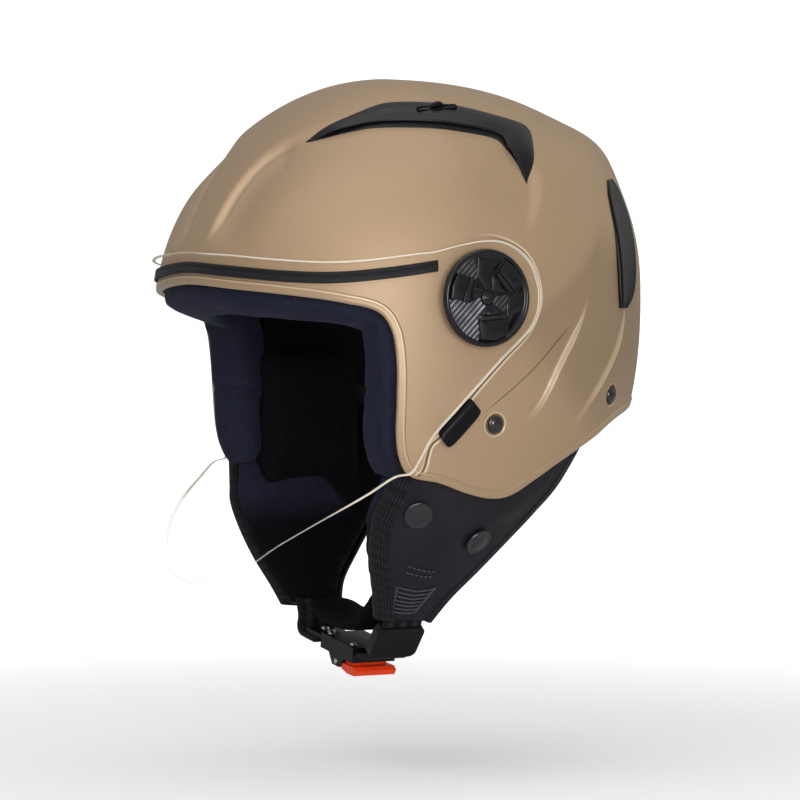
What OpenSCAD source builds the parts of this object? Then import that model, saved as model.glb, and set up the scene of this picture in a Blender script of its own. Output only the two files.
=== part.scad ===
// Open-face motorcycle helmet with a clear visor and a chin strap.
// Frame: +Z up, the face looks along -Y, +X is the wearer's left.
// Origin: the middle plane, on the visor's pivot axis, inside the head cavity.

/* [Shell] */
// Half width of the shell, at the visor's pivot
half_w = 120; // [112:0.5:128]
// Reach of the shell in front of the pivot axis
reach_front = 116; // [112:0.5:122]
// Reach of the shell behind the pivot axis
reach_rear = 153.5; // [148:0.5:158]
// Height of the crown above the pivot axis
crown_h = 122; // [116:0.5:128]
// Wall of the moulded shell
shell_t = 3.2; // [2.6:0.1:4]
// Height of the ridge across the upper back
ridge_h = 6; // [0:0.5:8]

/* [Face opening] */
// Elevation of the brow's edge over the pivot axis, in degrees
brow_el = 4.5; // [3:0.5:6]
// Bearing of the cheeks' front edges from straight ahead, in degrees
cheek_az = 68.5; // [67:0.5:70]
// Elevation of the lower front corners, in degrees
corner_el = -38; // [-40:0.5:-36]
// Elevation of the sides' lowest edge, in degrees
side_el = -44.5; // [-46:0.5:-43]
// Elevation of the edge at the nape, in degrees
nape_el = -20; // [-22:0.5:-18]
// Wall of the beading on the shell's edge
bead_t = 1; // [0.8:0.1:1.6]
// Width of the beading's two legs on the shell
bead_leg = 3; // [2:0.5:4]

/* [Lining] */
// Wall of the impact liner
eps_t = 22; // [18:1:26]
// Free space kept between neighbouring layers
layer_gap = 0.6; // [0.4:0.1:1]
// Free space kept behind the loose pads
pad_gap = 1.4; // [1.2:0.1:2]
// Thickness of the fabric comfort liner
comfort_t = 5; // [3:0.5:7]
// Thickness of the crown and brow pads
pad_t = 7; // [5:0.5:9]
// Thickness of the cheek pads
cheek_t = 20; // [16:1:24]

/* [Visor] */
// Sheet thickness of the visor
visor_t = 2; // [1.6:0.1:2.4]
// Gap between the shell and the visor at the pivots
visor_gap_side = 2; // [1.6:0.1:2.6]
// Gap between the shell and the visor at the brow
visor_gap_front = 3.6; // [3:0.1:4.4]
// Elevation of the visor's bottom edge at the middle, in degrees
visor_low_el = -54.5; // [-56:0.5:-53]
// Height of the brow seal's strip
seal_h = 6; // [4:0.5:8]
// Length of the tab on each lower side edge
tab_len = 26; // [20:1:30]
// Width of that tab
tab_w = 9; // [8:0.5:10]

/* [Pivots] */
// Radius of the boss that the visor turns on
boss_r = 8; // [7:0.5:10]
// Running clearance between boss and hub, on the radius
run_gap = 0.05; // [0.02:0.01:0.1]
// Outer radius of the visor's hub ring
hub_r = 15; // [13:0.5:17]
// Thickness of the hub ring
hub_t = 3.2; // [2.8:0.1:4]
// Radius of the base plate under the visor
plate_r = 18; // [16.5:0.5:20]
// Thickness of the base plate
plate_t = 2; // [1.6:0.1:2.4]
// Depth of the flat seat below the shell's widest point
seat_depth = 1.4; // [1.2:0.1:1.8]
// Radius of the cap over the pivot
cap_r = 26; // [24:0.5:28]
// Height of the cap
cap_h = 5.6; // [5:0.2:7]
// Shank radius of the pivot screw
screw_r = 2.5; // [2:0.25:3]

/* [Vents] */
// Height of the top vents over the shell
vent_h = 2.2; // [2:0.1:3]
// Height of the rear vents over the shell
rear_vent_h = 2; // [1.6:0.2:2.6]
// Length of the slot that each vent knob runs in
slot_len = 26; // [22:1:30]
// Width of that slot
slot_w = 3; // [2.5:0.25:4]
// Length of a vent knob
knob_len = 9; // [7:0.5:11]

/* [Strap] */
// Width of the strap's webbing
web_w = 24; // [20:1:26]
// Thickness of the webbing
web_t = 2; // [1.4:0.2:2.4]
// Thickness of the ear flaps
flap_t = 6; // [4:0.5:7]
// Radius of the snap buttons
snap_r = 8; // [7:0.5:9]
// Head radius of the strap rivets
rivet_r = 4.8; // [4:0.2:6]
// Thickness of the chin pad
chin_pad_t = 6; // [4:0.5:6.5]

/* [Buckle] */
// Outer width of the buckle's frame
frame_w = 27; // [25:0.5:30]
// Wall of the frame's two cheeks
frame_wall = 2.4; // [2:0.2:3]
// Width of the toothed tongue
tongue_w = 19; // [17:0.5:20]
// Thickness of the tongue
tongue_t = 3.2; // [2.6:0.2:3.6]
// Pitch of the tongue's teeth
tooth_pitch = 3; // [2.4:0.2:3.6]
// Radius of the lever's pin
pin_r = 1.5; // [1.2:0.1:1.8]
// Tilt of the buckle down towards the wearer's left, in degrees
buckle_tilt = 9; // [6:1:12]

/* [Hidden] */

$fn = 48;

// Colours
gold = [0.69, 0.57, 0.43];
black = [0.06, 0.06, 0.07];
navy = [0.1, 0.1, 0.15];
leather = [0.16, 0.16, 0.19];
steel = [0.6, 0.6, 0.62];
red = [1, 0.2, 0.06];
clear = [0.85, 0.9, 0.95, 0.3];
foam = [0.85, 0.85, 0.86];

// How far the shell's walls run down below the axis, where they would close
drop_front = 400;
drop_side = 205;
drop_rear = 175;
// Fullness of the shell across, in front and behind: 2 is an ellipse
full_side = 2.3;
full_front = 1.75;
full_rear = 2.45;
full_rear_low = 2.2;
// Place and spread of the ridge across the upper back, in degrees
ridge_el = 34;
ridge_high = 8;
ridge_wide = 50;

// Half of the shell's edge from brow to nape: bearing and elevation
rim_half = [
    [0, brow_el], [24, brow_el - 1.6], [42, brow_el - 3.3], [54, brow_el - 5],
    [cheek_az - 5.5, brow_el - 7.3], [cheek_az - 1.6, brow_el - 12.5], [cheek_az - 0.3, -16],
    [cheek_az - 0.2, -24], [cheek_az - 0.3, corner_el + 6], [cheek_az + 0.8, corner_el + 1.3],
    [cheek_az + 3.6, corner_el - 1.6], [80, side_el + 3.3], [89, side_el + 1], [97, side_el],
    [104, side_el + 0.8], [112, side_el + 4.5], [119, side_el + 8.2], [130.5, nape_el - 10.5],
    [142, nape_el - 5], [160, nape_el - 1.4]];
rim_loop = concat(rim_half, [[180, nape_el]],
    [for (i = [len(rim_half) - 1:-1:1]) [360 - rim_half[i][0], rim_half[i][1]]]);

// Helpers for numbers and vectors
function mix(a, b, t) = a + (b - a)*t;
function unit(v) = v/norm(v);
function smooth(t) = let(c = min(1, max(0, t))) c*c*(3 - 2*c);
function catmull(a, b, c, d, t) =
    b + 0.5*t*(c - a + t*(2*a - 5*b + 4*c - d + t*(3*(b - c) + d - a)));
// A smooth open line through a list, with k steps between its points
function spline(p, k) = let(n = len(p) - 1) concat(
    [for (i = [0:n - 1], j = [0:k - 1])
        catmull(p[max(0, i - 1)], p[i], p[i + 1], p[min(n, i + 2)], j/k)], [p[n]]);
// The direction at a bearing and an elevation from the origin
function heading(az, el) = [cos(el)*sin(az), -cos(el)*cos(az), sin(el)];
function bearing(d) = atan2(d.x, -d.y);

// Distance from the origin to the shell's outside, with all half axes less by inset. Only
// the shell itself has the ridge: what lies deeper runs straight on under it.
function shell_radius(d, inset) =
    let(c = -d.y/norm([d.x, d.y, 0.001]),
        drop = d.z > 0 ? crown_h : mix(drop_side, c > 0 ? drop_front : drop_rear, c*c),
        py = (d.y < 0 ? reach_front : reach_rear) - inset,
        p = d.y < 0 ? (d.z > 0 ? full_front : 2) : (d.z > 0 ? full_rear : full_rear_low),
        s = pow(pow(abs(d.y)/py, p) + pow(abs(d.z)/(drop - inset), p), 1/p),
        away = 180 - abs(bearing(d)),
        ridge = exp(-pow((asin(d.z) - ridge_el)/ridge_high, 2) - pow(away/ridge_wide, 2)))
    pow(pow(s, full_side) + pow(abs(d.x)/(half_w - inset), full_side), -1/full_side)
        + (inset <= shell_t ? ridge_h*ridge : 0);
function skin(d, inset) = d*shell_radius(d, inset);
// Outward normal of the shell in direction d
function skin_normal(d) =
    let(a = unit(cross(d, abs(d.z) < 0.9 ? [0, 0, 1] : [1, 0, 0])), b = cross(d, a), e = 0.02,
        n = cross(skin(unit(d + a*e), 0) - skin(unit(d - a*e), 0),
            skin(unit(d + b*e), 0) - skin(unit(d - b*e), 0)))
    unit(n)*(n*d < 0 ? -1 : 1);

// The shell's edge as directions, evenly spaced, from the brow round by the left
rim_dense = let(n = len(rim_loop)) [for (i = [0:n - 1], j = [0:5])
    let(turn = [360, 0],
        a = i == 0 ? rim_loop[n - 1] - turn : rim_loop[i - 1],
        c = i == n - 1 ? rim_loop[0] + turn : rim_loop[i + 1],
        d = i >= n - 2 ? rim_loop[i + 2 - n] + turn : rim_loop[i + 2],
        q = catmull(a, rim_loop[i], c, d, j/6)) heading(q[0], q[1])];
rim_steps = [for (i = [0:len(rim_dense) - 1])
    norm(rim_dense[(i + 1)%len(rim_dense)] - rim_dense[i])];
rim_sums = [for (i = 0, s = 0; i <= len(rim_steps); s = s + (i < len(rim_steps) ? rim_steps[i] : 0),
    i = i + 1) s];
rim_total = rim_sums[len(rim_steps)];
// u runs from 0 at the brow over 0.5 at the nape to 1; negative u is the right side
function rim(u) = let(s = (u - floor(u))*rim_total, n = len(rim_dense),
    i = min(n - 1, len([for (c = rim_sums) if (c <= s) 1]) - 1))
    unit(mix(rim_dense[i], rim_dense[(i + 1)%n], (s - rim_sums[i])/rim_steps[i]));

// Lines of the shell run from a pole at the upper back to the edge
pole = unit([0, 1, 1]);
function arc_to(d, t) = let(w = acos(pole*d)) (sin((1 - t)*w)*pole + sin(t*w)*d)/sin(w);
// The way off the shell's edge, square to the edge and to the normal
function off_edge(u) = let(n = skin_normal(rim(u)),
    along = unit(skin(rim(u + 0.003), 0) - skin(rim(u - 0.003), 0)), c = cross(along, n))
    unit(c)*(c*(rim(u) - pole) < 0 ? -1 : 1);

// Polyhedra. Faces are turned to point outwards, whichever way the grids run.
function flat(rows) = [for (r = rows) each r];
function signed_volume(p, f) = [for (t = f) p[t[0]]*cross(p[t[1]], p[t[2]])]*[for (t = f) 1];
function outward(p, f) = signed_volume(p, f) > 0 ? [for (t = f) [t[2], t[1], t[0]]] : f;
function quad(a, b, c, d) = [[a, b, c], [a, c, d]];
module skinned(p, f) {
    polyhedron(p, outward(p, f), convexity = 8);
}
// The solid between two grids of points. wrap joins the last column to the first,
// and tip holds the two points that close the first row.
module between(outer, inner, wrap = false, tip = []) {
    n = len(outer);
    m = len(outer[0]);
    k = n*m;
    cols = wrap ? m - 1 : m - 2;
    function o(i, j) = i*m + j%m;
    sheet = [for (i = [0:n - 2], j = [0:cols]) each concat(
        quad(o(i, j), o(i, j + 1), o(i + 1, j + 1), o(i + 1, j)),
        quad(k + o(i, j), k + o(i + 1, j), k + o(i + 1, j + 1), k + o(i, j + 1)))];
    last = [for (j = [0:cols]) each
        quad(o(n - 1, j), o(n - 1, j + 1), k + o(n - 1, j + 1), k + o(n - 1, j))];
    first = len(tip) > 0
        ? [for (j = [0:cols]) each [[2*k, o(0, j + 1), o(0, j)],
            [2*k + 1, k + o(0, j), k + o(0, j + 1)]]]
        : [for (j = [0:cols]) each quad(o(0, j + 1), o(0, j), k + o(0, j), k + o(0, j + 1))];
    sides = wrap ? [] : [for (i = [0:n - 2]) each concat(
        quad(o(i, 0), o(i + 1, 0), k + o(i + 1, 0), k + o(i, 0)),
        quad(o(i + 1, m - 1), o(i, m - 1), k + o(i, m - 1), k + o(i + 1, m - 1)))];
    skinned(concat(flat(outer), flat(inner), tip), concat(sheet, last, first, sides));
}
// A tube through rings of points, with flat ends or closed on itself
module tube(rings, closed = false) {
    n = len(rings);
    m = len(rings[0]);
    function o(i, j) = (i%n)*m + j%m;
    wall = [for (i = [0:closed ? n - 1 : n - 2], j = [0:m - 1]) each
        quad(o(i, j), o(i, j + 1), o(i + 1, j + 1), o(i + 1, j))];
    ends = closed ? [] : [for (j = [1:m - 2]) each [[0, j + 1, j],
        [o(n - 1, 0), o(n - 1, j), o(n - 1, j + 1)]]];
    skinned(flat(rings), concat(wall, ends));
}
// A flat band along points; outs gives the way that its face looks at each point
module ribbon(points, outs, width, thick) {
    n = len(points);
    tube([for (i = [0:n - 1])
        let(t = unit(points[min(n - 1, i + 1)] - points[max(0, i - 1)]),
            w = unit(cross(t, outs[i])), h = cross(t, w))
        [for (q = [[-1, -1], [1, -1], [1, 1], [-1, 1]])
            points[i] + w*q[0]*width/2 + h*q[1]*thick/2]]);
}
// Children are put at p with their +Z along n
module stand(p, n) {
    translate(p) rotate([0, acos(n.z/norm(n)), atan2(n.y, n.x)]) children();
}
// Children made for the wearer's left are put on the side given
module on_side(side) {
    if (side > 0) children();
    else mirror([1, 0, 0]) children();
}
// A round part with its axis on the pivot axis, from x0 outwards
module on_axis(x0) {
    translate([x0, 0, 0]) rotate([0, 90, 0]) children();
}

// Pivot stack, from the shell's seat outwards
seat_x = half_w - seat_depth;
plate_x = seat_x + plate_t;
hub_x = plate_x + 0.5;
boss_x = hub_x + hub_t + 0.9;
washer_t = 0.5;
cap_skirt_x = boss_x - 1.2;
screw_head_h = 1.6;
nut_t = 2;
nut_r = 9;
nut_x = half_w - shell_t - layer_gap - nut_t;

// Rivets of the strap: bearing and elevation of the front one and the rear one
rivet_dirs = [heading(95.7, -30.1), heading(135.6, -21.3)];
rivet_shank_r = 2.4;
anchor_in = 6.2;
anchor_t = 1.5;

// Outer shell
shell_cols = 80;
shell_rows = 14;
shell_rim = [for (j = [0:shell_cols - 1]) rim(j/shell_cols)];
function dome_grid(dirs, rows, t_end, inset) = [for (i = [1:rows])
    [for (j = [0:len(dirs) - 1]) skin(arc_to(dirs[j], t_end[j]*i/rows), inset)]];
module outer_shell() {
    whole = [for (d = shell_rim) 1];
    color(gold)
    difference() {
        between(dome_grid(shell_rim, shell_rows, whole, 0),
            dome_grid(shell_rim, shell_rows, whole, shell_t),
            wrap = true, tip = [skin(pole, 0), skin(pole, shell_t)]);
        for (side = [-1, 1])
            on_side(side) {
                on_axis(seat_x) cylinder(r = plate_r + 0.5, h = 10);
                on_axis(seat_x - 10) cylinder(r = screw_r + 0.3, h = 20);
                for (d = rivet_dirs)
                    stand(skin(d, 0), skin_normal(d))
                        translate([0, 0, -10]) cylinder(r = rivet_shank_r + 0.2, h = 20);
            }
    }
}

// Beading on the shell's edge, a channel section all round. The first number of
// each point is the way off the edge, the second the way out from the shell.
module edge_beading() {
    slip = 0.6;
    tip = slip + 1.2*bead_t;
    low = -shell_t - slip;
    section = [[-bead_leg, slip], [-bead_leg, slip + bead_t], [tip, slip + 0.6*bead_t],
        [tip, low - 0.6*bead_t], [-bead_leg, low - bead_t], [-bead_leg, low], [slip, low],
        [slip, slip]];
    color(gold)
    tube([for (i = [0:shell_cols - 1]) let(u = i/shell_cols, d = rim(u), edge = skin(d, 0),
        out = skin_normal(d), off = off_edge(u), lean = edge - skin(d, shell_t),
        shear = (lean*off)/(lean*out))
        [for (q = section) edge + off*(q[0] + min(0, max(-shell_t, q[1]))*shear) + out*q[1]]],
        closed = true);
}

// Impact liner: it stops short over the cheeks, where the straps pass
liner_in = shell_t + layer_gap;
liner_end = 0.92;
liner_end_cheek = 0.8;
function liner_stop(u) = let(v = abs(u - round(u)))
    mix(liner_end, liner_end_cheek, smooth((v - 0.235)/0.03)*(1 - smooth((v - 0.39)/0.03)));
liner_cols = 44;
liner_rows = 9;
liner_rim = [for (j = [0:liner_cols - 1]) rim(j/liner_cols)];
module impact_liner() {
    ends = [for (j = [0:liner_cols - 1]) liner_stop(j/liner_cols)];
    color(foam)
    difference() {
        between(dome_grid(liner_rim, liner_rows, ends, liner_in),
            dome_grid(liner_rim, liner_rows, ends, liner_in + eps_t),
            wrap = true, tip = [skin(pole, liner_in), skin(pole, liner_in + eps_t)]);
        for (side = [-1, 1])
            on_side(side) on_axis(nut_x - layer_gap) cylinder(r = nut_r + 1, h = 20);
    }
}

// Fabric comfort liner, inside the impact liner
comfort_in = liner_in + eps_t + layer_gap;
pad_in = comfort_in + comfort_t + pad_gap;
module comfort_liner() {
    ends = [for (j = [0:liner_cols - 1]) liner_stop(j/liner_cols)];
    color(navy)
    between(dome_grid(liner_rim, liner_rows, ends, comfort_in),
        dome_grid(liner_rim, liner_rows, ends, comfort_in + comfort_t),
        wrap = true, tip = [skin(pole, comfort_in), skin(pole, comfort_in + comfort_t)]);
}

// How full a cushion is at s across it, from -1 to 1: 1 in the middle, drawn in at its edge
function crowned(s) = 0.35 + 0.65*sqrt(max(0, 1 - pow(abs(s), 2.6)));

// Round pad under the crown, with three sewn channels round it
module crown_pad() {
    n = 24;
    rows = 6;
    spread = 40;
    function at(i, j, inset) = skin(heading(360*j/n, 90 - spread*i/rows), inset);
    function thick(i) = pad_t*crowned(i/rows)*(i%3 == 2 ? 0.72 : 1);
    color(navy)
    between([for (i = [1:rows]) [for (j = [0:n - 1]) at(i, j, pad_in)]],
        [for (i = [1:rows]) [for (j = [0:n - 1]) at(i, j, pad_in + thick(i))]],
        wrap = true, tip = [at(0, 0, pad_in), at(0, 0, pad_in + pad_t)]);
}

// A cushion over bearings az0 to az1 between two elevations, laid at an inset
module cushion(az0, az1, el0, el1, cols, rows, seat, thick) {
    function at(i, j, lift) =
        let(az = mix(az0, az1, j/cols), el = mix(el0, el1, i/rows), d = heading(az, el),
            full = crowned(2*j/cols - 1)*crowned(2*i/rows - 1))
        skin(d, seat + lift*thick*full);
    between([for (i = [0:rows]) [for (j = [0:cols]) at(i, j, 0)]],
        [for (i = [0:rows]) [for (j = [0:cols]) at(i, j, 1)]]);
}
module brow_pad() {
    color(navy) cushion(-52, 52, 14, 36, 20, 5, pad_in, pad_t);
}

// Cheek pad: its back follows the impact liner above and the shell's side below
module cheek_pad(side) {
    rows = 10;
    cols = 10;
    low = -53;
    high = -24;
    function at(i, j, lift) =
        let(el = mix(low, high, i/rows), az = mix(75, 112, j/cols),
            back = mix(pad_in, shell_t + 16, smooth((-el - 30)/12)) + 8*smooth((-el - 42)/11),
            face = pad_in + cheek_t*crowned(2*j/cols - 1)*crowned(2*i/rows - 1))
        skin(heading(az, el), lift == 0 ? back : face);
    color(navy)
    on_side(side)
        between([for (i = [0:rows]) [for (j = [0:cols]) at(i, j, 0)]],
            [for (i = [0:rows]) [for (j = [0:cols]) at(i, j, 1)]]);
}

// Padded roll round a stretch of the edge, from u0 to u1. The section's first number is
// how far along the shell's lines it lies, the second its inset.
roll_section = [[0.937, 6], [0.955, 5.4], [0.975, 5.6], [0.985, 9], [0.988, 15], [0.98, 22],
    [0.966, 28], [0.95, 32], [0.937, 34]];
module edge_roll(u0, u1, stations) {
    tube([for (i = [0:stations]) let(u = mix(u0, u1, i/stations), d = rim(u),
        full = crowned(1.96*i/stations - 0.98))
        [for (q = roll_section) skin(arc_to(d, q[0]), mix(12, q[1], full))]]);
}
roll_end = 0.238;
module face_roll() {
    color(navy) edge_roll(-roll_end, roll_end, 36);
}
module neck_roll() {
    color(leather) edge_roll(0.425, 0.575, 20);
}

// Gap between shell and visor at a bearing
function visor_gap(az) = let(c = cos(az)) mix(visor_gap_side, visor_gap_front, max(0, c)*max(0, c));

// Seal strip on the brow, under the visor: bearing and elevation of its middle
module brow_seal() {
    line = [[-78, 8], [-66, 6.2], [-53, 5], [-40, 5.3], [-20, 7], [0, 8.3],
        [20, 7], [40, 5.3], [53, 5], [66, 6.2], [78, 8]];
    route = spline(line, 4);
    function at(q, lift, up) = let(d = heading(q[0], q[1]), r = shell_radius(d, 0))
        skin(heading(q[0], q[1] + up*asin(seal_h/2/r)), -lift);
    color(black)
    between([for (up = [-1, 1]) [for (q = route) at(q, 0.6*visor_gap(q[0]), up)]],
        [for (up = [-1, 1]) [for (q = route) at(q, 0.2, up)]]);
}

// Top vent: bearing and elevation of its upper edge, then of its lower edge
vent_line = [[34, 47.4, 34.4, 46.9], [40.9, 50.5, 42, 47.4], [50.8, 54, 50.5, 48.2],
    [61.6, 57.3, 60, 48.7], [69.7, 58.3, 69, 48.1], [86.2, 57, 80, 47.1], [100.1, 55.4, 91, 46],
    [112.2, 51, 101.5, 44.2], [121.3, 46.6, 106.4, 42], [122.8, 43.6, 107.8, 38.6],
    [117.6, 38, 109, 34], [110.4, 29.6, 110, 29]];
module top_vent(side) {
    route = spline(vent_line, 2);
    rows = 4;
    n = len(route) - 1;
    function at(i, j, lift) = let(q = route[j],
        d = unit(mix(heading(q[0], q[1]), heading(q[2], q[3]), i/rows)),
        swell = sqrt(max(0, 1 - pow(abs(2*j/n - 1), 8))),
        full = 0.3 + 0.7*swell*smooth(1.6*(1 - abs(2*i/rows - 0.9))))
        skin(d, -0.4 - lift*(vent_h - 0.4)*full);
    color(black)
    on_side(side)
    difference() {
        between([for (i = [0:rows]) [for (j = [0:n]) at(i, j, 1)]],
            [for (i = [0:rows]) [for (j = [0:n]) at(i, j, 0)]]);
        slot_frame() translate([0, 0, -1.2]) linear_extrude(6) stadium(slot_len, slot_w);
    }
}
// The knob's place on the left vent and the line that it slides on, towards the rear
knob_dir = heading(87, 53.4);
knob_out = skin_normal(knob_dir);
knob_line = unit(cross(knob_out, [1, 0, 0]));
knob_lift = vent_h + 0.3;
module slot_frame() {
    side_way = cross(knob_out, knob_line);
    multmatrix([[knob_line.x, side_way.x, knob_out.x, skin(knob_dir, -vent_h).x + knob_line.x*2],
        [knob_line.y, side_way.y, knob_out.y, skin(knob_dir, -vent_h).y + knob_line.y*2],
        [knob_line.z, side_way.z, knob_out.z, skin(knob_dir, -vent_h).z + knob_line.z*2],
        [0, 0, 0, 1]]) children();
}
module stadium(len, wide) {
    hull()
        for (s = [-1, 1])
            translate([s*(len - wide)/2, 0]) circle(d = wide, $fn = 24);
}
module vent_knob(side) {
    color(black)
    on_side(side)
    slot_frame() translate([-2, 0, 0]) {
        translate([0, 0, 0.3]) linear_extrude(1.6) stadium(knob_len, slot_w + 1.6);
        translate([0, 0, -0.8]) linear_extrude(1.2) stadium(knob_len - 3, slot_w - 0.6);
        translate([0, 0, 1.9])
            rotate([90, 0, 0]) cylinder(r = 0.8, h = slot_w + 1, center = true, $fn = 24);
    }
}

// Rear vent: elevation, then the bearings of its front and rear edges
module rear_vent(side) {
    line = [[27, 141, 145.5], [23.5, 137.8, 148], [17, 136, 148.5], [9, 135.6, 147.5],
        [2, 135.9, 145], [-2.5, 136.4, 139.8]];
    route = spline(line, 3);
    rows = 3;
    function at(i, q, lift) = let(d = heading(mix(q[1], q[2], i/rows), q[0]),
        full = 0.45 + 0.55*smooth(2*(1 - abs(2*i/rows - 1))))
        skin(d, -0.4 - lift*(rear_vent_h - 0.4)*full);
    color(black)
    on_side(side)
        between([for (i = [0:rows]) [for (q = route) at(i, q, 1)]],
            [for (i = [0:rows]) [for (q = route) at(i, q, 0)]]);
}

// Half of the visor from the middle to the left pivot: bearing, bottom and top elevation
visor_half = [[0, visor_low_el, 12.2], [20, visor_low_el + 1.7, 11], [37, visor_low_el + 6.3, 9.4],
    [50, visor_low_el + 10, 8.6], [60, visor_low_el + 13, 9.1], [67, visor_low_el + 15.6, 10],
    [cheek_az + 3, corner_el - 0.4, 10.6], [cheek_az + 5.3, corner_el + 2, 10.9],
    [77, -31.6, 11.3], [83, -26.3, 12.8], [90, -20, 14], [96, -14.7, 13.9], [101, -10.7, 12],
    [105, -7, 8.3], [106.9, -3.4, 3.6], [107.4, -1, 0.8]];
visor_left = spline(visor_half, 2);
module visor() {
    route = concat([for (i = [len(visor_left) - 1:-1:1])
        [-visor_left[i][0], visor_left[i][1], visor_left[i][2]]], visor_left);
    rows = 7;
    function at(i, q, lift) = skin(heading(q[0], mix(q[1], q[2], i/rows)),
        -visor_gap(q[0]) - lift*visor_t);
    color(clear)
    difference() {
        between([for (i = [0:rows]) [for (q = route) at(i, q, 1)]],
            [for (i = [0:rows]) [for (q = route) at(i, q, 0)]]);
        for (side = [-1, 1])
            on_side(side) on_axis(half_w - 10) cylinder(r = hub_r, h = 30);
    }
}
module visor_hub(side) {
    color(black)
    on_side(side) on_axis(hub_x)
        difference() {
            cylinder(r = hub_r, h = hub_t);
            translate([0, 0, -1]) cylinder(r = boss_r + run_gap, h = hub_t + 2);
        }
}
// Tab on the visor's lower side edge: it lies over the shell beside the edge, and a thin
// flange runs on under the visor, which is bonded to it
module visor_tab(side) {
    a = heading(88.4, -25.8);
    b = heading(80.5, -32.4);
    across = unit(cross(b - a, a + b))*-1;
    low = 0.7;
    flange = visor_gap_side - 0.3;
    top = visor_gap_side + visor_t + 0.2;
    section = [[-1.75, flange], [-0.96, flange], [-0.94, top], [0, top], [1, top]];
    steps = 8;
    function at(s, w, lift) = let(
        d = unit(mix(a, b, 0.5 + s*tab_len/2/norm(skin(a, 0) - skin(b, 0)))
            + across*w*tab_w/2/shell_radius(a, 0)*(1 - 0.35*pow(abs(s), 8))))
        skin(d, -lift);
    color(black)
    on_side(side)
        between([for (i = [0:steps]) [for (q = section) at(2*i/steps - 1, q[0], q[1])]],
            [for (i = [0:steps]) [for (q = section) at(2*i/steps - 1, q[0], low)]]);
}

// Base plate with the boss that the visor turns on
module pivot_plate(side) {
    color(black)
    on_side(side)
        difference() {
            union() {
                on_axis(seat_x) cylinder(r = plate_r, h = plate_t);
                on_axis(seat_x) cylinder(r = boss_r, h = boss_x - seat_x);
            }
            on_axis(seat_x - 1) cylinder(r = screw_r + 0.1, h = boss_x - seat_x + 2);
        }
}
module pivot_nut(side) {
    color(steel)
    on_side(side) on_axis(nut_x)
        difference() {
            cylinder(r = nut_r, h = nut_t);
            translate([0, 0, -1]) cylinder(r = screw_r, h = nut_t + 2);
        }
}
module pivot_screw(side) {
    color(steel)
    on_side(side) {
        on_axis(nut_x) cylinder(r = screw_r, h = boss_x - nut_x);
        on_axis(boss_x) cylinder(r1 = screw_r + 2, r2 = screw_r + 1.4, h = screw_head_h);
    }
}
module pivot_washer(side) {
    color(steel)
    on_side(side) on_axis(hub_x + hub_t + 0.1)
        difference() {
            cylinder(r = boss_r + 4.5, h = washer_t);
            translate([0, 0, -1]) cylinder(r = boss_r + 0.2, h = washer_t + 2);
        }
}
// Cap over the pivot: a dished disc with five raised blocks and a small hub
module pivot_cap(side) {
    blocks = 5;
    skirt = 1.6;
    top = cap_h - 1.4;
    color(black)
    on_side(side) on_axis(cap_skirt_x) {
        difference() {
            union() {
                rotate_extrude()
                    polygon([[0, 0], [cap_r - 0.8, 0], [cap_r, 0.8], [cap_r, top - 1.6],
                        [cap_r - 1.6, top], [cap_r - 3, top], [cap_r - 5, top - 1], [0, top - 1]]);
                for (i = [0:blocks - 1])
                    rotate([0, 0, 360*i/blocks]) translate([0, 0, top - 2])
                        linear_extrude(2.6)
                            polygon([[7.5, -1.5], [12, -6.2], [18.5, -5.2], [18.5, 3.6], [11, 4.6]]);
                translate([0, 0, top - 2]) cylinder(r = 6.5, h = 3.4);
            }
            translate([0, 0, -1]) cylinder(r = cap_r - skirt, h = 1 + boss_x - cap_skirt_x);
            translate([0, 0, -1])
                cylinder(r = screw_r + 2.3, h = 1.2 + boss_x - cap_skirt_x + screw_head_h);
        }
    }
}

// Rivets that hold the strap's anchors to the shell, two on each side
module strap_rivets() {
    head_h = 2.2;
    inner_h = 1.2;
    inner = -anchor_in - anchor_t - inner_h;
    color(steel)
    for (side = [-1, 1], d = rivet_dirs)
        on_side(side) stand(skin(d, 0), skin_normal(d))
            rotate_extrude()
                polygon([[0, inner], [rivet_r, inner], [rivet_r, inner + inner_h],
                    [rivet_shank_r, inner + inner_h], [rivet_shank_r, 0.4], [rivet_r, 0.4],
                    [rivet_r, 0.9], [rivet_r - 1, head_h - 0.5], [1.6, head_h], [0, head_h]]);
}
// Steel plates behind the rivets, which the straps are sewn round
anchor_len = 16;
module strap_anchors() {
    color(steel)
    for (side = [-1, 1], d = rivet_dirs)
        on_side(side) stand(skin(d, 0), skin_normal(d))
            translate([0, 0, -anchor_in - anchor_t])
                linear_extrude(anchor_t)
                    difference() {
                        translate([anchor_len/2 - 5, 0]) square([anchor_len, 16], center = true);
                        circle(r = rivet_shank_r + 0.1);
                    }
}

// Ear flap: a patch between a top line under the shell's edge, a front edge, a rear edge
// and a short bottom line. w runs from front to rear and v from top to bottom.
flap_u = [0.253, 0.385];
flap_in = shell_t + 2.2;
flap_front = [[92, -37, -108], [87, -37, -118], [78, -35, -135], [70, -32, -150], [62, -27, -164],
    [55, -22, -175]];
flap_rear = [[90, 65, -101], [85, 51, -118], [79, 38, -133], [72, 24, -149], [64, 11, -164],
    [54, 4, -177]];
flap_steps = 12;
flap_mid_out = [0.88, 0, -0.47];
function flap_rim(w) = skin(rim(mix(flap_u[0], flap_u[1], w)), flap_in);
function on_line(line, v) = let(n = len(line) - 1, i = min(n - 1, floor(v*n)), f = v*n - i)
    catmull(line[max(0, i - 1)], line[i], line[i + 1], line[min(n, i + 2)], f);
flap_front_line = concat([flap_rim(0)], flap_front);
flap_rear_line = concat([flap_rim(1)], flap_rear);
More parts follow.
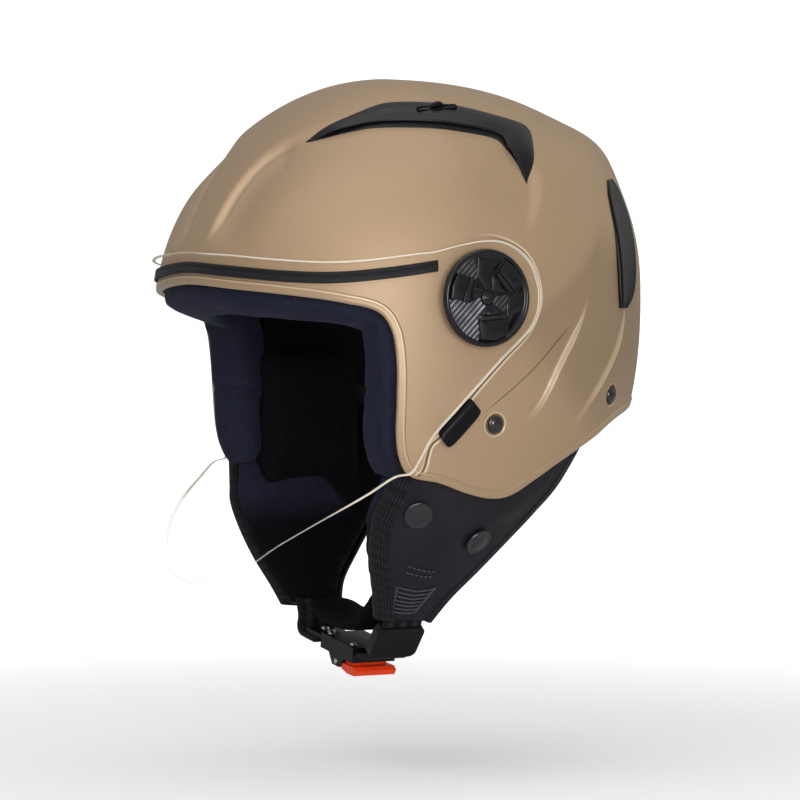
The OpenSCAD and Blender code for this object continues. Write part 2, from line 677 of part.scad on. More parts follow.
function flap(w, v) = let(
    f = on_line(flap_front_line, v), r = on_line(flap_rear_line, v), last = len(flap_front))
    mix(flap_rim(w), mix(flap_front_line[last], flap_rear_line[last], w), v)
        + (1 - w)*(f - mix(flap_front_line[0], flap_front_line[last], v))
        + w*(r - mix(flap_rear_line[0], flap_rear_line[last], v));
function flap_out(w, v) = unit(mix(skin_normal(rim(mix(flap_u[0], flap_u[1], w))),
    flap_mid_out, min(1, 2*v)));
// Two rows that tuck the flap under the shell's edge
flap_tuck = [0.965, 0.985];
function flap_row(v, lift) = [for (i = [0:flap_steps]) let(w = i/flap_steps)
    flap(w, v) - flap_out(w, v)*lift*flap_t*(0.45 + 0.55*crowned(2*w - 1)*smooth(3*v + 0.3))];
function tuck_row(t, lift) = [for (i = [0:flap_steps]) let(w = i/flap_steps,
    u = mix(flap_u[0], flap_u[1], w)) skin(arc_to(rim(u), t), flap_in)
        - skin_normal(rim(u))*lift*flap_t*0.5];
module ear_flap(side) {
    rows = 10;
    grid = [for (lift = [0, 1]) concat([for (t = flap_tuck) tuck_row(t, lift)],
        [for (k = [0:rows]) flap_row(k/rows, lift)])];
    color(leather)
    on_side(side) between(grid[0], grid[1]);
}
// Webbing band on the flap's front edge
band_w = 9;
module flap_band(side) {
    n = 16;
    color(black)
    on_side(side)
    tube([for (i = [0:n]) let(v = mix(0.06, 1, i/n), p = flap(0, v), out = flap_out(0, v),
        way = unit(flap(0.08, v) - p))
        [for (q = [[-1.8, 0.3], [-1.8, 1.4], [-0.8, 2], [band_w - 1, 2], [band_w, 1.4],
            [band_w, 0.3]]) p + way*q[0] + out*q[1]]]);
}
// Piping round the flap's rear edge
piping_r = 2.6;
module flap_piping(side) {
    n = 16;
    sides = 8;
    color(leather)
    on_side(side)
    tube([for (i = [0:n]) let(v = mix(0.08, 1, i/n), out = flap_out(1, v),
        way = unit(flap(1, v) - flap(0.96, v)), p = flap(1, v) + way*(piping_r + 0.5) - out*1.4)
        [for (k = [0:sides - 1]) p + piping_r*(way*cos(360*k/sides) + out*sin(360*k/sides))]]);
}
// Two snap buttons on each flap
snap_places = [[0.17, 0.17], [0.64, 0.37]];
module snap_buttons(side) {
    color(black)
    on_side(side)
    for (q = snap_places) {
        p = flap(q[0], q[1]);
        e = 0.02;
        n = cross(flap(q[0] + e, q[1]) - flap(q[0] - e, q[1]),
            flap(q[0], q[1] + e) - flap(q[0], q[1] - e));
        stand(p, n*(n.x < 0 ? -1 : 1))
            rotate_extrude()
                polygon([[0, 0.5], [snap_r - 0.6, 0.5], [snap_r, 1.1], [snap_r, 1.9],
                    [snap_r - 0.8, 2.6], [snap_r - 1.8, 2.3], [3.5, 3.1], [0, 3.3]]);
    }
}

// Buckle frame of reference: local x runs down towards the wearer's left, local z up.
buckle_at = [-4, -10, -194.3];
module at_buckle() {
    translate(buckle_at) rotate([0, buckle_tilt, 0]) children();
}
function buckle_point(q) = buckle_at + [q.x*cos(buckle_tilt) + q.z*sin(buckle_tilt), q.y,
    q.z*cos(buckle_tilt) - q.x*sin(buckle_tilt)];
frame_x = [-14, 24];
frame_z = [-9.5, 5];
lever_at = [5, -7];
tongue_x = [-40, 16];

// Webbing inside a flap: a front leg that goes on to the buckle and a rear leg on it
leg_in = flap_t + 4;
function leg_point(w, v, deep) = flap(w, v) - flap_out(w, v)*deep;
function anchor_foot(k) = let(d = rivet_dirs[k], n = skin_normal(d),
    down = unit([0, 0, -1] - n*(n*[0, 0, -1])))
    skin(d, 0) - n*(anchor_in + anchor_t + web_t/2 + 0.3) + down*(anchor_len - 7);
module strap_legs(side, foot) {
    front = [for (v = [0.1:0.15:1]) [mix(0.45, 0.5, v), v]];
    rear = [for (i = [0:5]) [[0.84, 0.79, 0.72, 0.65, 0.6, 0.56][i], mix(0.1, 0.78, i/5)]];
    color(black)
    on_side(side) {
        ribbon(concat([anchor_foot(0)], [for (q = front) leg_point(q[0], q[1], leg_in)], foot),
            concat([skin_normal(rivet_dirs[0])], [for (q = front) flap_out(q[0], q[1])],
                [for (q = foot) [1, 0, -1]]), web_w, web_t);
        ribbon(concat([anchor_foot(1)],
                [for (q = rear) leg_point(q[0], q[1], leg_in + web_t + 0.8)]),
            concat([skin_normal(rivet_dirs[1])], [for (q = rear) flap_out(q[0], q[1])]),
            web_w - 8, web_t);
    }
}
slider_lean = 50;
module chin_strap_left() {
    along = [cos(slider_lean), 0, sin(slider_lean)]*(slider_size.x/2 + 2);
    strap_legs(1, [slider_at + along, slider_at, slider_at - along,
        buckle_point([frame_x[1] + 0.4, 0, 1])]);
}
module chin_strap_right() {
    end = buckle_point([tongue_x[0] + 8, 0, -tongue_t/2 - web_t/2 - 0.3]);
    drop = tan(buckle_tilt);
    strap_legs(-1, [[48.5, end.y, -179], [49.5, end.y, -186], [-end.x + 11, end.y, end.z + 11*drop + 0.6],
        [-end.x + 5, end.y, end.z + 5*drop], [-end.x - 6, end.y, end.z - 6*drop]]);
}

// Padded sleeve over the buckle, against the chin
chin_line = [for (q = [[50, -157], [44, -165.5], [36, -173.5], [24, -180], [8, -182.3],
    [-8, -181.1], [-24, -177], [-34, -171]]) [q.x, buckle_at.y, q.y]];
module chin_pad() {
    route = spline(chin_line, 2);
    n = len(route) - 1;
    cols = 6;
    half = 17;
    function at(i, j, lift) = let(t = unit(route[min(n, i + 1)] - route[max(0, i - 1)]),
        h = unit(cross(t, [0, 1, 0])), s = 2*j/cols - 1,
        wide = half*(0.72 + 0.28*crowned(2*i/n - 1)),
        full = crowned(2*i/n - 1)*crowned(s))
        route[i] + [0, s*wide, 0] + h*(h.z < 0 ? -1 : 1)*chin_pad_t/2*full*lift;
    color(black)
    between([for (i = [0:n]) [for (j = [0:cols]) at(i, j, 1)]],
        [for (i = [0:n]) [for (j = [0:cols]) at(i, j, -1)]]);
}

// Slider on the left strap, which takes up the webbing's spare length
slider_at = [44, buckle_at.y, -187];
slider_size = [22, 29, 6];
module strap_slider() {
    color(black)
    translate(slider_at) rotate([0, -slider_lean, 0])
        difference() {
            translate([0, 0, -slider_size.z/2])
                linear_extrude(slider_size.z)
                    offset(r = 4) square([slider_size.x - 8, slider_size.y - 8], center = true);
            cube([slider_size.x + 2, web_w + 1, web_t + 1], center = true);
        }
}

// Buckle frame: a back plate over the tongue and two cheeks for the lever's pin
module buckle_frame() {
    inner_w = frame_w - 2*frame_wall;
    len = frame_x[1] - frame_x[0];
    mid = (frame_x[0] + frame_x[1])/2;
    roof = tongue_t/2 + 0.5;
    color(black)
    at_buckle()
        difference() {
            union() {
                translate([frame_x[0], -frame_w/2, roof]) cube([len, frame_w, frame_z[1] - roof]);
                for (s = [-1, 1])
                    translate([frame_x[0], s*(frame_w - frame_wall)/2 - frame_wall/2, -3.6])
                        cube([len, frame_wall, roof + 3.7]);
                for (s = [-1, 1])
                    translate([lever_at[0], s*(frame_w - frame_wall)/2, 0]) rotate([90, 0, 0])
                        linear_extrude(frame_wall, center = true)
                            polygon([[-9, -3.5], [-4, lever_at[1] - 2.5], [4, lever_at[1] - 2.5],
                                [9, -3.5]]);
                translate([frame_x[1] - 3.2, -frame_w/2, -3.6]) cube([3.2, frame_w, roof + 3.7]);
                translate([frame_x[0], -frame_w/2, -3.6]) cube([8, frame_w, 3.6 - tongue_t/2 - 0.4 - 1.5]);
            }
            translate([lever_at[0], 0, lever_at[1]]) rotate([90, 0, 0])
                cylinder(r = pin_r, h = frame_w + 2, center = true);
            for (x = [frame_x[0] + 4, frame_x[1] - 8])
                translate([x, -frame_w/2 + 4.4, 0]) cylinder(r = 1.2, h = frame_z[1] + 1);
        }
}
// Rivets through the frame's back plate
module frame_rivets() {
    roof = tongue_t/2 + 0.5;
    color(steel)
    at_buckle()
    for (x = [frame_x[0] + 4, frame_x[1] - 8])
        translate([x, -frame_w/2 + 4.4, roof + 0.1])
            rotate_extrude()
                polygon([[0, 0], [1.2, 0], [1.2, frame_z[1] - roof - 0.1],
                    [2.2, frame_z[1] - roof - 0.1], [1.4, frame_z[1] - roof + 0.8],
                    [0, frame_z[1] - roof + 0.9]]);
}

// Toothed tongue that slides into the frame
tooth_h = 1.4;
module buckle_tongue() {
    teeth = 9;
    first = tongue_x[1] - teeth*tooth_pitch;
    low = -tongue_t/2;
    color(black)
    at_buckle()
    difference() {
        rotate([90, 0, 0])
            linear_extrude(tongue_w, center = true)
                polygon(concat([[tongue_x[0], low], [tongue_x[0], -low], [tongue_x[1], -low]],
                    [for (i = [teeth - 1:-1:0]) each [[first + (i + 1)*tooth_pitch - 0.3, low],
                        [first + i*tooth_pitch + 0.3, low + tooth_h]]]));
        for (x = tongue_rivet_x)
            translate([x, 0, 0]) cylinder(r = 1.5, h = 10, center = true);
    }
}
tongue_rivet_x = [tongue_x[0] + 5, tongue_x[0] + 13];
module tongue_rivets() {
    color(steel)
    at_buckle()
    for (x = tongue_rivet_x)
        translate([x, 0, 0])
            rotate_extrude()
                polygon([[0, -tongue_t/2], [1.5, -tongue_t/2], [1.5, tongue_t/2],
                    [2.6, tongue_t/2], [1.8, tongue_t/2 + 1.1], [0, tongue_t/2 + 1.3]]);
}

// Lever with a pawl under the teeth; it turns on the pin at its far end
lever_play = 0.3;
module buckle_lever() {
    body_w = frame_w - 2*frame_wall - 2*lever_play;
    pawl_z = -tongue_t/2 - lever_play;
    color(red)
    at_buckle()
        difference() {
            union() {
                rotate([90, 0, 0])
                    linear_extrude(body_w, center = true)
                        polygon([[lever_at[0], lever_at[1] + 3.2], [10, -4.6], [12.6, pawl_z],
                            [14.6, -4.4], [19.5, -4.6], [19.5, -9.5], [lever_at[0], lever_at[1] - 3.2]]);
                translate([lever_at[0], 0, lever_at[1]]) rotate([90, 0, 0])
                    cylinder(r = 3.2, h = body_w, center = true);
                rotate([90, 0, 0])
                    linear_extrude(frame_w - 1, center = true)
                        polygon([[12, -6.4], [25, -5.8], [27.5, -7.6], [26, -10.6], [18, -11],
                            [11, -9.6]]);
            }
            translate([lever_at[0], 0, lever_at[1]]) rotate([90, 0, 0])
                cylinder(r = pin_r + run_gap, h = frame_w, center = true);
            translate([lever_at[0], 0, lever_at[1]]) rotate([90, 0, 0])
                cylinder(r = 4.4, h = 8, center = true);
        }
}
module lever_pin() {
    color(steel)
    at_buckle()
    translate([lever_at[0], 0, lever_at[1]]) rotate([90, 0, 0])
        cylinder(r = pin_r, h = frame_w + 0.6, center = true);
}
// Torsion spring on the pin, in the lever's slot
spring_turns = 3;
spring_wire = 0.4;
spring_r = 2.5;
spring_long = 6;
module lever_spring() {
    per_turn = 8;
    sides = 6;
    n = spring_turns*per_turn;
    function centre(i) = [spring_r*cos(360*i/per_turn), mix(-0.5, 0.5, i/n)*spring_long,
        spring_r*sin(360*i/per_turn)];
    color(steel)
    at_buckle()
    translate([lever_at[0], 0, lever_at[1]])
        tube([for (i = [0:n]) let(p = centre(i), out = unit([p.x, 0, p.z]))
            [for (k = [0:sides - 1])
                p + spring_wire*(out*cos(360*k/sides) + [0, 1, 0]*sin(360*k/sides))]]);
}

outer_shell();
edge_beading();
impact_liner();
comfort_liner();
crown_pad();
brow_pad();
cheek_pad(1);  // cheek_pad_left
cheek_pad(-1);  // cheek_pad_right
face_roll();
neck_roll();
brow_seal();
top_vent(1);  // top_vent_left
top_vent(-1);  // top_vent_right
vent_knob(1);  // vent_knob_left
vent_knob(-1);  // vent_knob_right
rear_vent(1);  // rear_vent_left
rear_vent(-1);  // rear_vent_right
visor();
visor_hub(1);  // visor_hub_left
visor_hub(-1);  // visor_hub_right
visor_tab(1);  // visor_tab_left
visor_tab(-1);  // visor_tab_right
pivot_plate(1);  // pivot_plate_left
pivot_plate(-1);  // pivot_plate_right
pivot_nut(1);  // pivot_nut_left
pivot_nut(-1);  // pivot_nut_right
pivot_screw(1);  // pivot_screw_left
pivot_screw(-1);  // pivot_screw_right
pivot_washer(1);  // pivot_washer_left
pivot_washer(-1);  // pivot_washer_right
pivot_cap(1);  // pivot_cap_left
pivot_cap(-1);  // pivot_cap_right
strap_rivets();
strap_anchors();
ear_flap(1);  // ear_flap_left
ear_flap(-1);  // ear_flap_right
flap_band(1);  // flap_band_left
flap_band(-1);  // flap_band_right
flap_piping(1);  // flap_piping_left
flap_piping(-1);  // flap_piping_right
snap_buttons(1);  // snap_buttons_left
snap_buttons(-1);  // snap_buttons_right
chin_strap_left();
chin_strap_right();
chin_pad();
strap_slider();
buckle_frame();
frame_rivets();
buckle_tongue();
tongue_rivets();
buckle_lever();
lever_pin();
lever_spring();
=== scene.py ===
import math
import bpy
import numpy as np
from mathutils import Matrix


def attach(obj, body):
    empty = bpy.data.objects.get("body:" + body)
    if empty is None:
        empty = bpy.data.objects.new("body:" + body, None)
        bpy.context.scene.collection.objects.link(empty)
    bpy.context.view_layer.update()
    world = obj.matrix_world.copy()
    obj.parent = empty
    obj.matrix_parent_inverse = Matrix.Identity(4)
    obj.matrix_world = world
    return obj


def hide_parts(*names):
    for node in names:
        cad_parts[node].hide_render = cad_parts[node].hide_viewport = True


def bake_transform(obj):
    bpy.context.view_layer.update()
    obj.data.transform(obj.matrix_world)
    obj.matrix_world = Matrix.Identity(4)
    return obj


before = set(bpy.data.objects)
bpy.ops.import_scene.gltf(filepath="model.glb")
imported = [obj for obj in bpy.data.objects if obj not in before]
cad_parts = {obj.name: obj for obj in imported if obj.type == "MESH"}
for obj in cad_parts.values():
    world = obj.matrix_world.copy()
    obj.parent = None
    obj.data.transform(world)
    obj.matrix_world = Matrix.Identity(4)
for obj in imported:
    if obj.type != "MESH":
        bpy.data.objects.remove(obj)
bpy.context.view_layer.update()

# Lengths are millimetres and angles degrees; meshFrom turns the points into metres.
# A direction is a bearing from straight ahead towards the wearer's left, and an elevation.

mm = 0.001
scene = bpy.context.scene


def stand(name, data, aim, az, el, distance):
    # A camera or lamp, in metres, that looks at aim from a bearing, an elevation and a distance
    a, e = math.radians(az), math.radians(el)
    way = (math.sin(a) * math.cos(e), -math.cos(a) * math.cos(e), math.sin(e))
    obj = bpy.data.objects.new(name, data)
    obj.location = [aim[k] + way[k] * distance for k in range(3)]
    obj.rotation_euler = (math.radians(90 - el), 0, a)
    scene.collection.objects.link(obj)
    return obj


view = {"target": (0.0, 0.0175, -0.057), "azimuth": 61.0, "elevation": 1.5, "distance": 2.0, "lens": 160.2}
optics = bpy.data.cameras.new("camera")
optics.lens, optics.sensor_width = view["lens"], 36.0
optics.clip_start, optics.clip_end = 0.05, 50.0
scene.camera = stand("camera", optics, view["target"], view["azimuth"], view["elevation"], view["distance"])
scene.view_settings.view_transform = "Standard"
print("camera ready")


# Numbers and lines

def smooth(t):
    t = np.clip(t, 0, 1)
    return t * t * (3 - 2 * t)


def mix(a, b, t):
    return a + (b - a) * t


def unit(v):
    return v / np.linalg.norm(v, axis=-1, keepdims=True)


def dot(a, b):
    return np.sum(a * b, axis=-1, keepdims=True)


def bell(t):
    return np.exp(-t ** 2)


def spline(points, steps, closed=False):
    # Smooth line through the points, steps to each stretch: cubic with slopes from the neighbours
    p = np.asarray(points, float)
    n = len(p)
    k = n if closed else n - 1
    i = np.repeat(np.arange(k), steps)
    t = np.tile(np.arange(steps) / steps, k)[:, None]
    a, b, c, d = [p[(i + j) % n if closed else np.clip(i + j, 0, n - 1)] for j in (-1, 0, 1, 2)]
    line = b + 0.5 * t * (c - a + t * (2 * a - 5 * b + 4 * c - d + t * (3 * (b - c) + d - a)))
    return line if closed else np.vstack([line, p[-1:]])


def lengths(line):
    # How far along a line each of its points lies
    return np.concatenate([[0], np.cumsum(np.linalg.norm(np.diff(line, axis=0), axis=1))])


def between(x, places, points):
    # The points of a line at the places x, straight from one to the next
    return np.stack([np.interp(x, places, points[:, k]) for k in range(points.shape[1])], axis=-1)


def resample(line, n):
    # n points at even distances along a line
    line = np.asarray(line, float)
    run = lengths(line)
    return between(np.linspace(0, run[-1], n), run, line)


def crowned(s):
    # Fullness of a cushion across its width: 1 in the middle, drawn in at the edges
    return 0.35 + 0.65 * np.sqrt(np.maximum(0, 1 - np.abs(s) ** 2.6))


# The shell's form, shared by every layer

shellForm = {
    "halfW": 120.0, "front": 116.0, "rear": 153.5, "crown": 122.0, "wall": 3.2,
    "dropFront": 400.0, "dropSide": 205.0, "dropRear": 175.0,
    "fullSide": 2.3, "fullFront": 1.75, "fullFrontLow": 2.0, "fullRear": 2.45, "fullRearLow": 2.2,
    "ridge": 6.0, "ridgeEl": 34.0, "ridgeHigh": 8.0, "ridgeWide": 50.0,
    "rim": [[0, 4.5], [24, 2.9], [42, 1.2], [54, -0.5], [63, -2.8], [66.9, -8], [68.2, -16],
            [68.3, -24], [68.2, -32], [69.3, -36.7], [72.1, -39.6], [80, -41.2], [89, -43.5],
            [97, -44.5], [104, -43.7], [112, -40], [119, -36.3], [130.5, -30.5], [142, -25],
            [160, -21.4]],
    "nape": -20, "rimSteps": 24,
}


def heading(az, el):
    a, e = np.radians(az), np.radians(el)
    return np.stack(np.broadcast_arrays(np.cos(e) * np.sin(a), -np.cos(e) * np.cos(a), np.sin(e)), axis=-1)


def shellRadius(d, inset):
    # Superellipsoid: the profile from front to back, then the width across it, plus a low ridge behind
    f = shellForm
    x, y, z = d[..., 0], d[..., 1], d[..., 2]
    c = -y / np.sqrt(x * x + y * y + 1e-6)
    side = mix(f["dropSide"], np.where(c > 0, f["dropFront"], f["dropRear"]), c * c)
    drop = np.where(z > 0, f["crown"], side) - inset
    reach = np.where(y < 0, f["front"], f["rear"]) - inset
    fullFront = np.where(z > 0, f["fullFront"], f["fullFrontLow"])
    fullRear = np.where(z > 0, f["fullRear"], f["fullRearLow"])
    p = np.where(y < 0, fullFront, fullRear)
    s = ((np.abs(y) / reach) ** p + (np.abs(z) / drop) ** p) ** (1 / p)
    q = f["fullSide"]
    r = (s ** q + (np.abs(x) / (f["halfW"] - inset)) ** q) ** (-1 / q)
    away = 180 - np.abs(np.degrees(np.arctan2(x, -y)))
    lift = np.degrees(np.arcsin(np.clip(z, -1, 1))) - f["ridgeEl"]
    ridge = f["ridge"] * np.exp(-(lift / f["ridgeHigh"]) ** 2 - (away / f["ridgeWide"]) ** 2)
    return r + np.where(inset <= f["wall"], ridge, 0)


def skin(d, inset=0.0):
    inset = np.broadcast_to(np.asarray(inset, float), d.shape[:-1])
    return d * shellRadius(d, inset)[..., None]


def skinNormal(d):
    # Square to two short steps over the surface
    turn = np.where(np.abs(d[..., 2:3]) < 0.9, np.array([0.0, 0, 1]), np.array([1.0, 0, 0]))
    a = unit(np.cross(d, turn))
    b = np.cross(d, a)
    e = 0.02
    n = unit(np.cross(*[skin(unit(d + way * e)) - skin(unit(d - way * e)) for way in (a, b)]))
    return n * np.where(dot(n, d) < 0, -1.0, 1.0)


rimHalf = np.array(shellForm["rim"], float)
rimFar = np.stack([360 - rimHalf[:0:-1, 0], rimHalf[:0:-1, 1]], axis=1)
rimLoop = np.vstack([rimHalf, [[180, shellForm["nape"]]], rimFar])
unrolled = np.vstack([rimLoop[-1] - [360, 0], rimLoop, rimLoop[0] + [360, 0], rimLoop[1] + [360, 0]])
rimSteps = shellForm["rimSteps"]
rimPlaces = spline(unrolled, rimSteps)[rimSteps:rimSteps * (len(rimLoop) + 1) + 1]
rimDense = heading(rimPlaces[:, 0], rimPlaces[:, 1])
rimRun = lengths(rimDense) / lengths(rimDense)[-1]


def rim(u):
    # Direction of the shell's edge: u is 0 at the brow, 0.5 at the nape, and runs round by the left
    return unit(between(np.asarray(u, float) % 1.0, rimRun, rimDense))


pole = unit(np.array([0.0, 1.0, 1.0]))


def arcTo(d, t):
    # From the pole at the upper back to a direction, on the shortest arc
    w = np.arccos(np.clip(d @ pole, -1, 1))[..., None]
    t = np.broadcast_to(np.asarray(t, float), d.shape[:-1])[..., None]
    return (np.sin((1 - t) * w) * pole + np.sin(t * w) * d) / np.sin(w)


def offEdge(u):
    # The way off the shell's edge, square to the edge and to the surface
    e = 0.003
    c = np.cross(unit(skin(rim(u + e)) - skin(rim(u - e))), skinNormal(rim(u)))
    return unit(c) * np.where(dot(c, rim(u) - pole) < 0, -1.0, 1.0)


def lineField(points, line):
    # Distance to a line of short steps, the side it lies on, and how far along the line, from 0 to 1
    best = np.full(len(points), 1e9)
    side, along = np.ones(len(points)), np.zeros(len(points))
    out = unit(points)
    run = lengths(line)
    for k in range(len(line) - 1):
        ab = line[k + 1] - line[k]
        t = np.clip(((points - line[k]) @ ab) / (ab @ ab), 0, 1)
        gap = points - line[k] - t[:, None] * ab
        far = np.linalg.norm(gap, axis=1)
        near = far < best
        best = np.where(near, far, best)
        turn = np.sum(np.cross(np.broadcast_to(ab, out.shape), out) * gap, axis=1)
        side = np.where(near, np.sign(turn), side)
        along = np.where(near, (run[k] + t * (run[k + 1] - run[k])) / run[-1], along)
    return best, side, along


# Meshes

def meshFrom(name, parts, uvs=None, attributes=None):
    # One mesh from several runs of points and faces
    points, faces, start = [], [], 0
    for p, f in parts:
        points.append(p)
        faces.extend([i + start for i in face] for face in f)
        start += len(p)
    mesh = bpy.data.meshes.new(name)
    mesh.from_pydata((np.concatenate(points) * mm).tolist(), [], faces)
    if uvs is not None:
        mesh.uv_layers.new(name="UVMap").data.foreach_set("uv", np.asarray(uvs, np.float32).ravel())
    for key, values in (attributes or {}).items():
        made = mesh.attributes.new(key, "FLOAT", "POINT")
        made.data.foreach_set("value", np.asarray(values, np.float32))
    mesh.polygons.foreach_set("use_smooth", np.ones(len(mesh.polygons), bool))
    mesh.update()
    obj = bpy.data.objects.new(name, mesh)
    scene.collection.objects.link(obj)
    return obj


def cellsOf(rows, cols):
    # Row and column of each cell in a grid
    return [x.ravel() for x in np.meshgrid(np.arange(rows), np.arange(cols), indexing="ij")]


def signedVolume(corners):
    # Six times the volume under faces of 3 or 4 corners
    total = np.sum(corners[:, 0] * np.cross(corners[:, 1], corners[:, 2]))
    if corners.shape[1] == 4:
        total += np.sum(corners[:, 0] * np.cross(corners[:, 2], corners[:, 3]))
    return total


def gridPart(grid, ring=False, size=(1.0, 1.0)):
    # Faces over a grid whose columns close in a round: its ends are closed by fans, or joined in a ring.
    # Faces are turned so that the closed form's volume is positive
    rows, cols = grid.shape[:2]
    runs = rows if ring else rows - 1
    i, j = cellsOf(runs, cols)
    at = lambda a, b: (a % rows) * cols + b % cols
    quads = np.stack([at(i, j), at(i, j + 1), at(i + 1, j + 1), at(i + 1, j)], axis=1)
    u = np.stack([j, j + 1, j + 1, j], axis=1) / cols * size[0]
    v = np.stack([i, i, i + 1, i + 1], axis=1) / runs * size[1]
    points = grid.reshape(-1, 3)
    tris = np.zeros((0, 3), int)
    triUv = np.zeros((0, 3, 2))
    k = np.arange(cols)
    for row in () if ring else (0, rows - 1):
        middle = np.full(cols, len(points))
        points = np.vstack([points, grid[row].mean(axis=0)])
        ends = [at(row, k), at(row, k + 1)]
        tris = np.vstack([tris, np.stack([middle, *(ends if row else ends[::-1])], axis=1)])
        fanU = np.stack([np.full(cols, 0.5), k / cols, (k + 1) / cols], axis=1) * size[0]
        triUv = np.vstack([triUv, np.stack([fanU, np.full((cols, 3), row / runs * size[1])], axis=2)])
    uvs = np.stack([u, v], axis=2)
    if signedVolume(points[quads]) + signedVolume(points[tris]) < 0:
        quads, tris, uvs, triUv = quads[:, ::-1], tris[:, ::-1], uvs[:, ::-1], triUv[:, ::-1]
    return points, quads.tolist() + tris.tolist(), np.vstack([uvs.reshape(-1, 2), triUv.reshape(-1, 2)])


def gridMesh(name, *grids, ring=False, sizes=None):
    # One mesh of one or more closed grids; sizes are those of their UV maps
    sizes = sizes or [(1.0, 1.0)] * len(grids)
    parts = [gridPart(grid, ring, size) for grid, size in zip(grids, sizes)]
    return meshFrom(name, [part[:2] for part in parts], np.vstack([part[2] for part in parts]))


def slab(name, face, back):
    # The solid between two grids, one face for each cell, with four walls
    rows, cols = face.shape[:2]
    k = rows * cols
    i, j = cellsOf(rows - 1, cols - 1)
    first = np.stack([i * cols + j, i * cols + j + 1, (i + 1) * cols + j + 1, (i + 1) * cols + j], axis=1)
    top, right = np.arange(cols), np.arange(1, rows) * cols + cols - 1
    bottom, left = (rows - 1) * cols + np.arange(cols - 1)[::-1], np.arange(1, rows - 1)[::-1] * cols
    loop = np.concatenate([top, right, bottom, left])
    ahead = np.roll(loop, -1)
    faces = np.vstack([first, (first + k)[:, ::-1], np.stack([ahead, loop, loop + k, ahead + k], axis=1)])
    points = np.vstack([face.reshape(-1, 3), back.reshape(-1, 3)])
    if signedVolume(points[faces]) < 0:
        faces = faces[:, ::-1]
    s, t = np.meshgrid(np.linspace(0, 1, cols), np.linspace(0, 1, rows))
    uv = np.tile(np.stack([s.ravel(), t.ravel()], axis=1), (2, 1))
    return meshFrom(name, [(points, faces.tolist())], uv[faces.ravel()])


def around(n):
    # Cosines and sines of n even turns
    a = np.radians(np.arange(n) * 360 / n)
    return np.cos(a), np.sin(a)


def placed(points, place):
    # place is an origin and the ways of local x, y and z
    origin, x, y, z = [np.asarray(v, float) for v in place]
    return origin + points[..., :1] * x + points[..., 1:2] * y + points[..., 2:] * z


def upright(p, n):
    # A place at p: x lies level, z points out along n
    x = unit(np.cross(np.array([0.0, 0, 1]), n))
    return p, x, np.cross(n, x), n


def turned(profile, place, count):
    # A profile of radius and height swept once round the local z
    c, s = around(count)
    p = np.asarray(profile, float)
    grid = np.stack([p[:, :1] * c, p[:, :1] * s, np.broadcast_to(p[:, 1:], (len(p), count))], axis=-1)
    return placed(grid, place)


def tubeGrid(path, section, outs):
    # A section carried along a path: its first number runs across, its second along outs
    along = unit(np.gradient(path, axis=0))
    across = unit(np.cross(along, outs))
    up = np.cross(across, along)
    return path[:, None] + across[:, None] * section[..., :1] + up[:, None] * section[..., 1:]


def roundedSection(width, thick, radius, steps):
    # A rectangle with quarter circles at its corners
    x, y = width / 2 - radius, thick / 2 - radius
    a = np.radians(np.linspace(0, 90, steps + 1))
    quarter = np.stack([np.cos(a), np.sin(a)], axis=1) * radius
    corners = []
    for k, middle in enumerate(((x, y), (-x, y), (-x, -y), (x, -y))):
        c, s = math.cos(k * math.pi / 2), math.sin(k * math.pi / 2)
        corners.append(quarter @ np.array([[c, s], [-s, c]]) + middle)
    return np.vstack(corners)


def roundedOutline(corners, radius, steps):
    # A closed polygon whose corners are short curves
    p = np.asarray(corners, float)
    a, b = [p + unit(np.roll(p, k, axis=0) - p) * radius for k in (1, -1)]
    t = np.linspace(0, 1, steps)[None, :, None]
    curves = (1 - t) ** 2 * a[:, None] + 2 * t * (1 - t) * p[:, None] + t ** 2 * b[:, None]
    return curves.reshape(-1, p.shape[1])


def inwardOf(o):
    # The way in from each point of a closed outline
    tangent = unit(np.roll(o, -1, axis=0) - np.roll(o, 1, axis=0))
    area = np.sum(o[:, 0] * np.roll(o[:, 1], -1) - o[:, 1] * np.roll(o[:, 0], -1))
    return np.stack([-tangent[:, 1], tangent[:, 0]], axis=1) * np.sign(area)


def raisedGrid(halfX, halfY, radius, steps, profile, place):
    # Rings of a rounded rectangle, each drawn in by profile's first number and raised by its second
    o = roundedOutline([[-halfX, -halfY], [halfX, -halfY], [halfX, halfY], [-halfX, halfY]], radius, steps)
    inward = inwardOf(o)
    rings = [np.concatenate([o + inward * q[0], np.full((len(o), 1), q[1])], axis=1) for q in profile]
    return placed(np.stack(rings), place)


# Work on finished meshes

def current(obj):
    # The object as its modifiers leave it
    return obj.evaluated_get(bpy.context.evaluated_depsgraph_get())


def baked(obj):
    # The object's mesh with its modifiers worked in
    mesh = bpy.data.meshes.new_from_object(current(obj))
    obj.modifiers.clear()
    obj.data = mesh
    mesh.polygons.foreach_set("use_smooth", np.ones(len(mesh.polygons), bool))
    return obj


def vectors(mesh, key):
    values = np.zeros(len(mesh.vertices) * 3, np.float32)
    mesh.vertices.foreach_get(key, values)
    return values.reshape(-1, 3).astype(float)


def coordinates(obj):
    return vectors(obj.data, "co") * 1000


def setCoordinates(obj, points):
    obj.data.vertices.foreach_set("co", (points * mm).astype(np.float32).ravel())
    obj.data.update()


def sink(obj, depth):
    # Moves each point in along its normal
    setCoordinates(obj, coordinates(obj) - vectors(obj.data, "normal") * depth[:, None])


def modifier(obj, name, kind, **settings):
    made = obj.modifiers.new(name, kind)
    for key, value in settings.items():
        setattr(made, key, value)
    return made


def softEdges(obj, width, angle):
    limit = math.radians(angle)
    modifier(obj, "soft", "BEVEL", width=width * mm, segments=2, limit_method="ANGLE", angle_limit=limit)


def subdivided(obj):
    modifier(obj, "subdivide", "SUBSURF", levels=1, render_levels=1)
    return baked(obj)


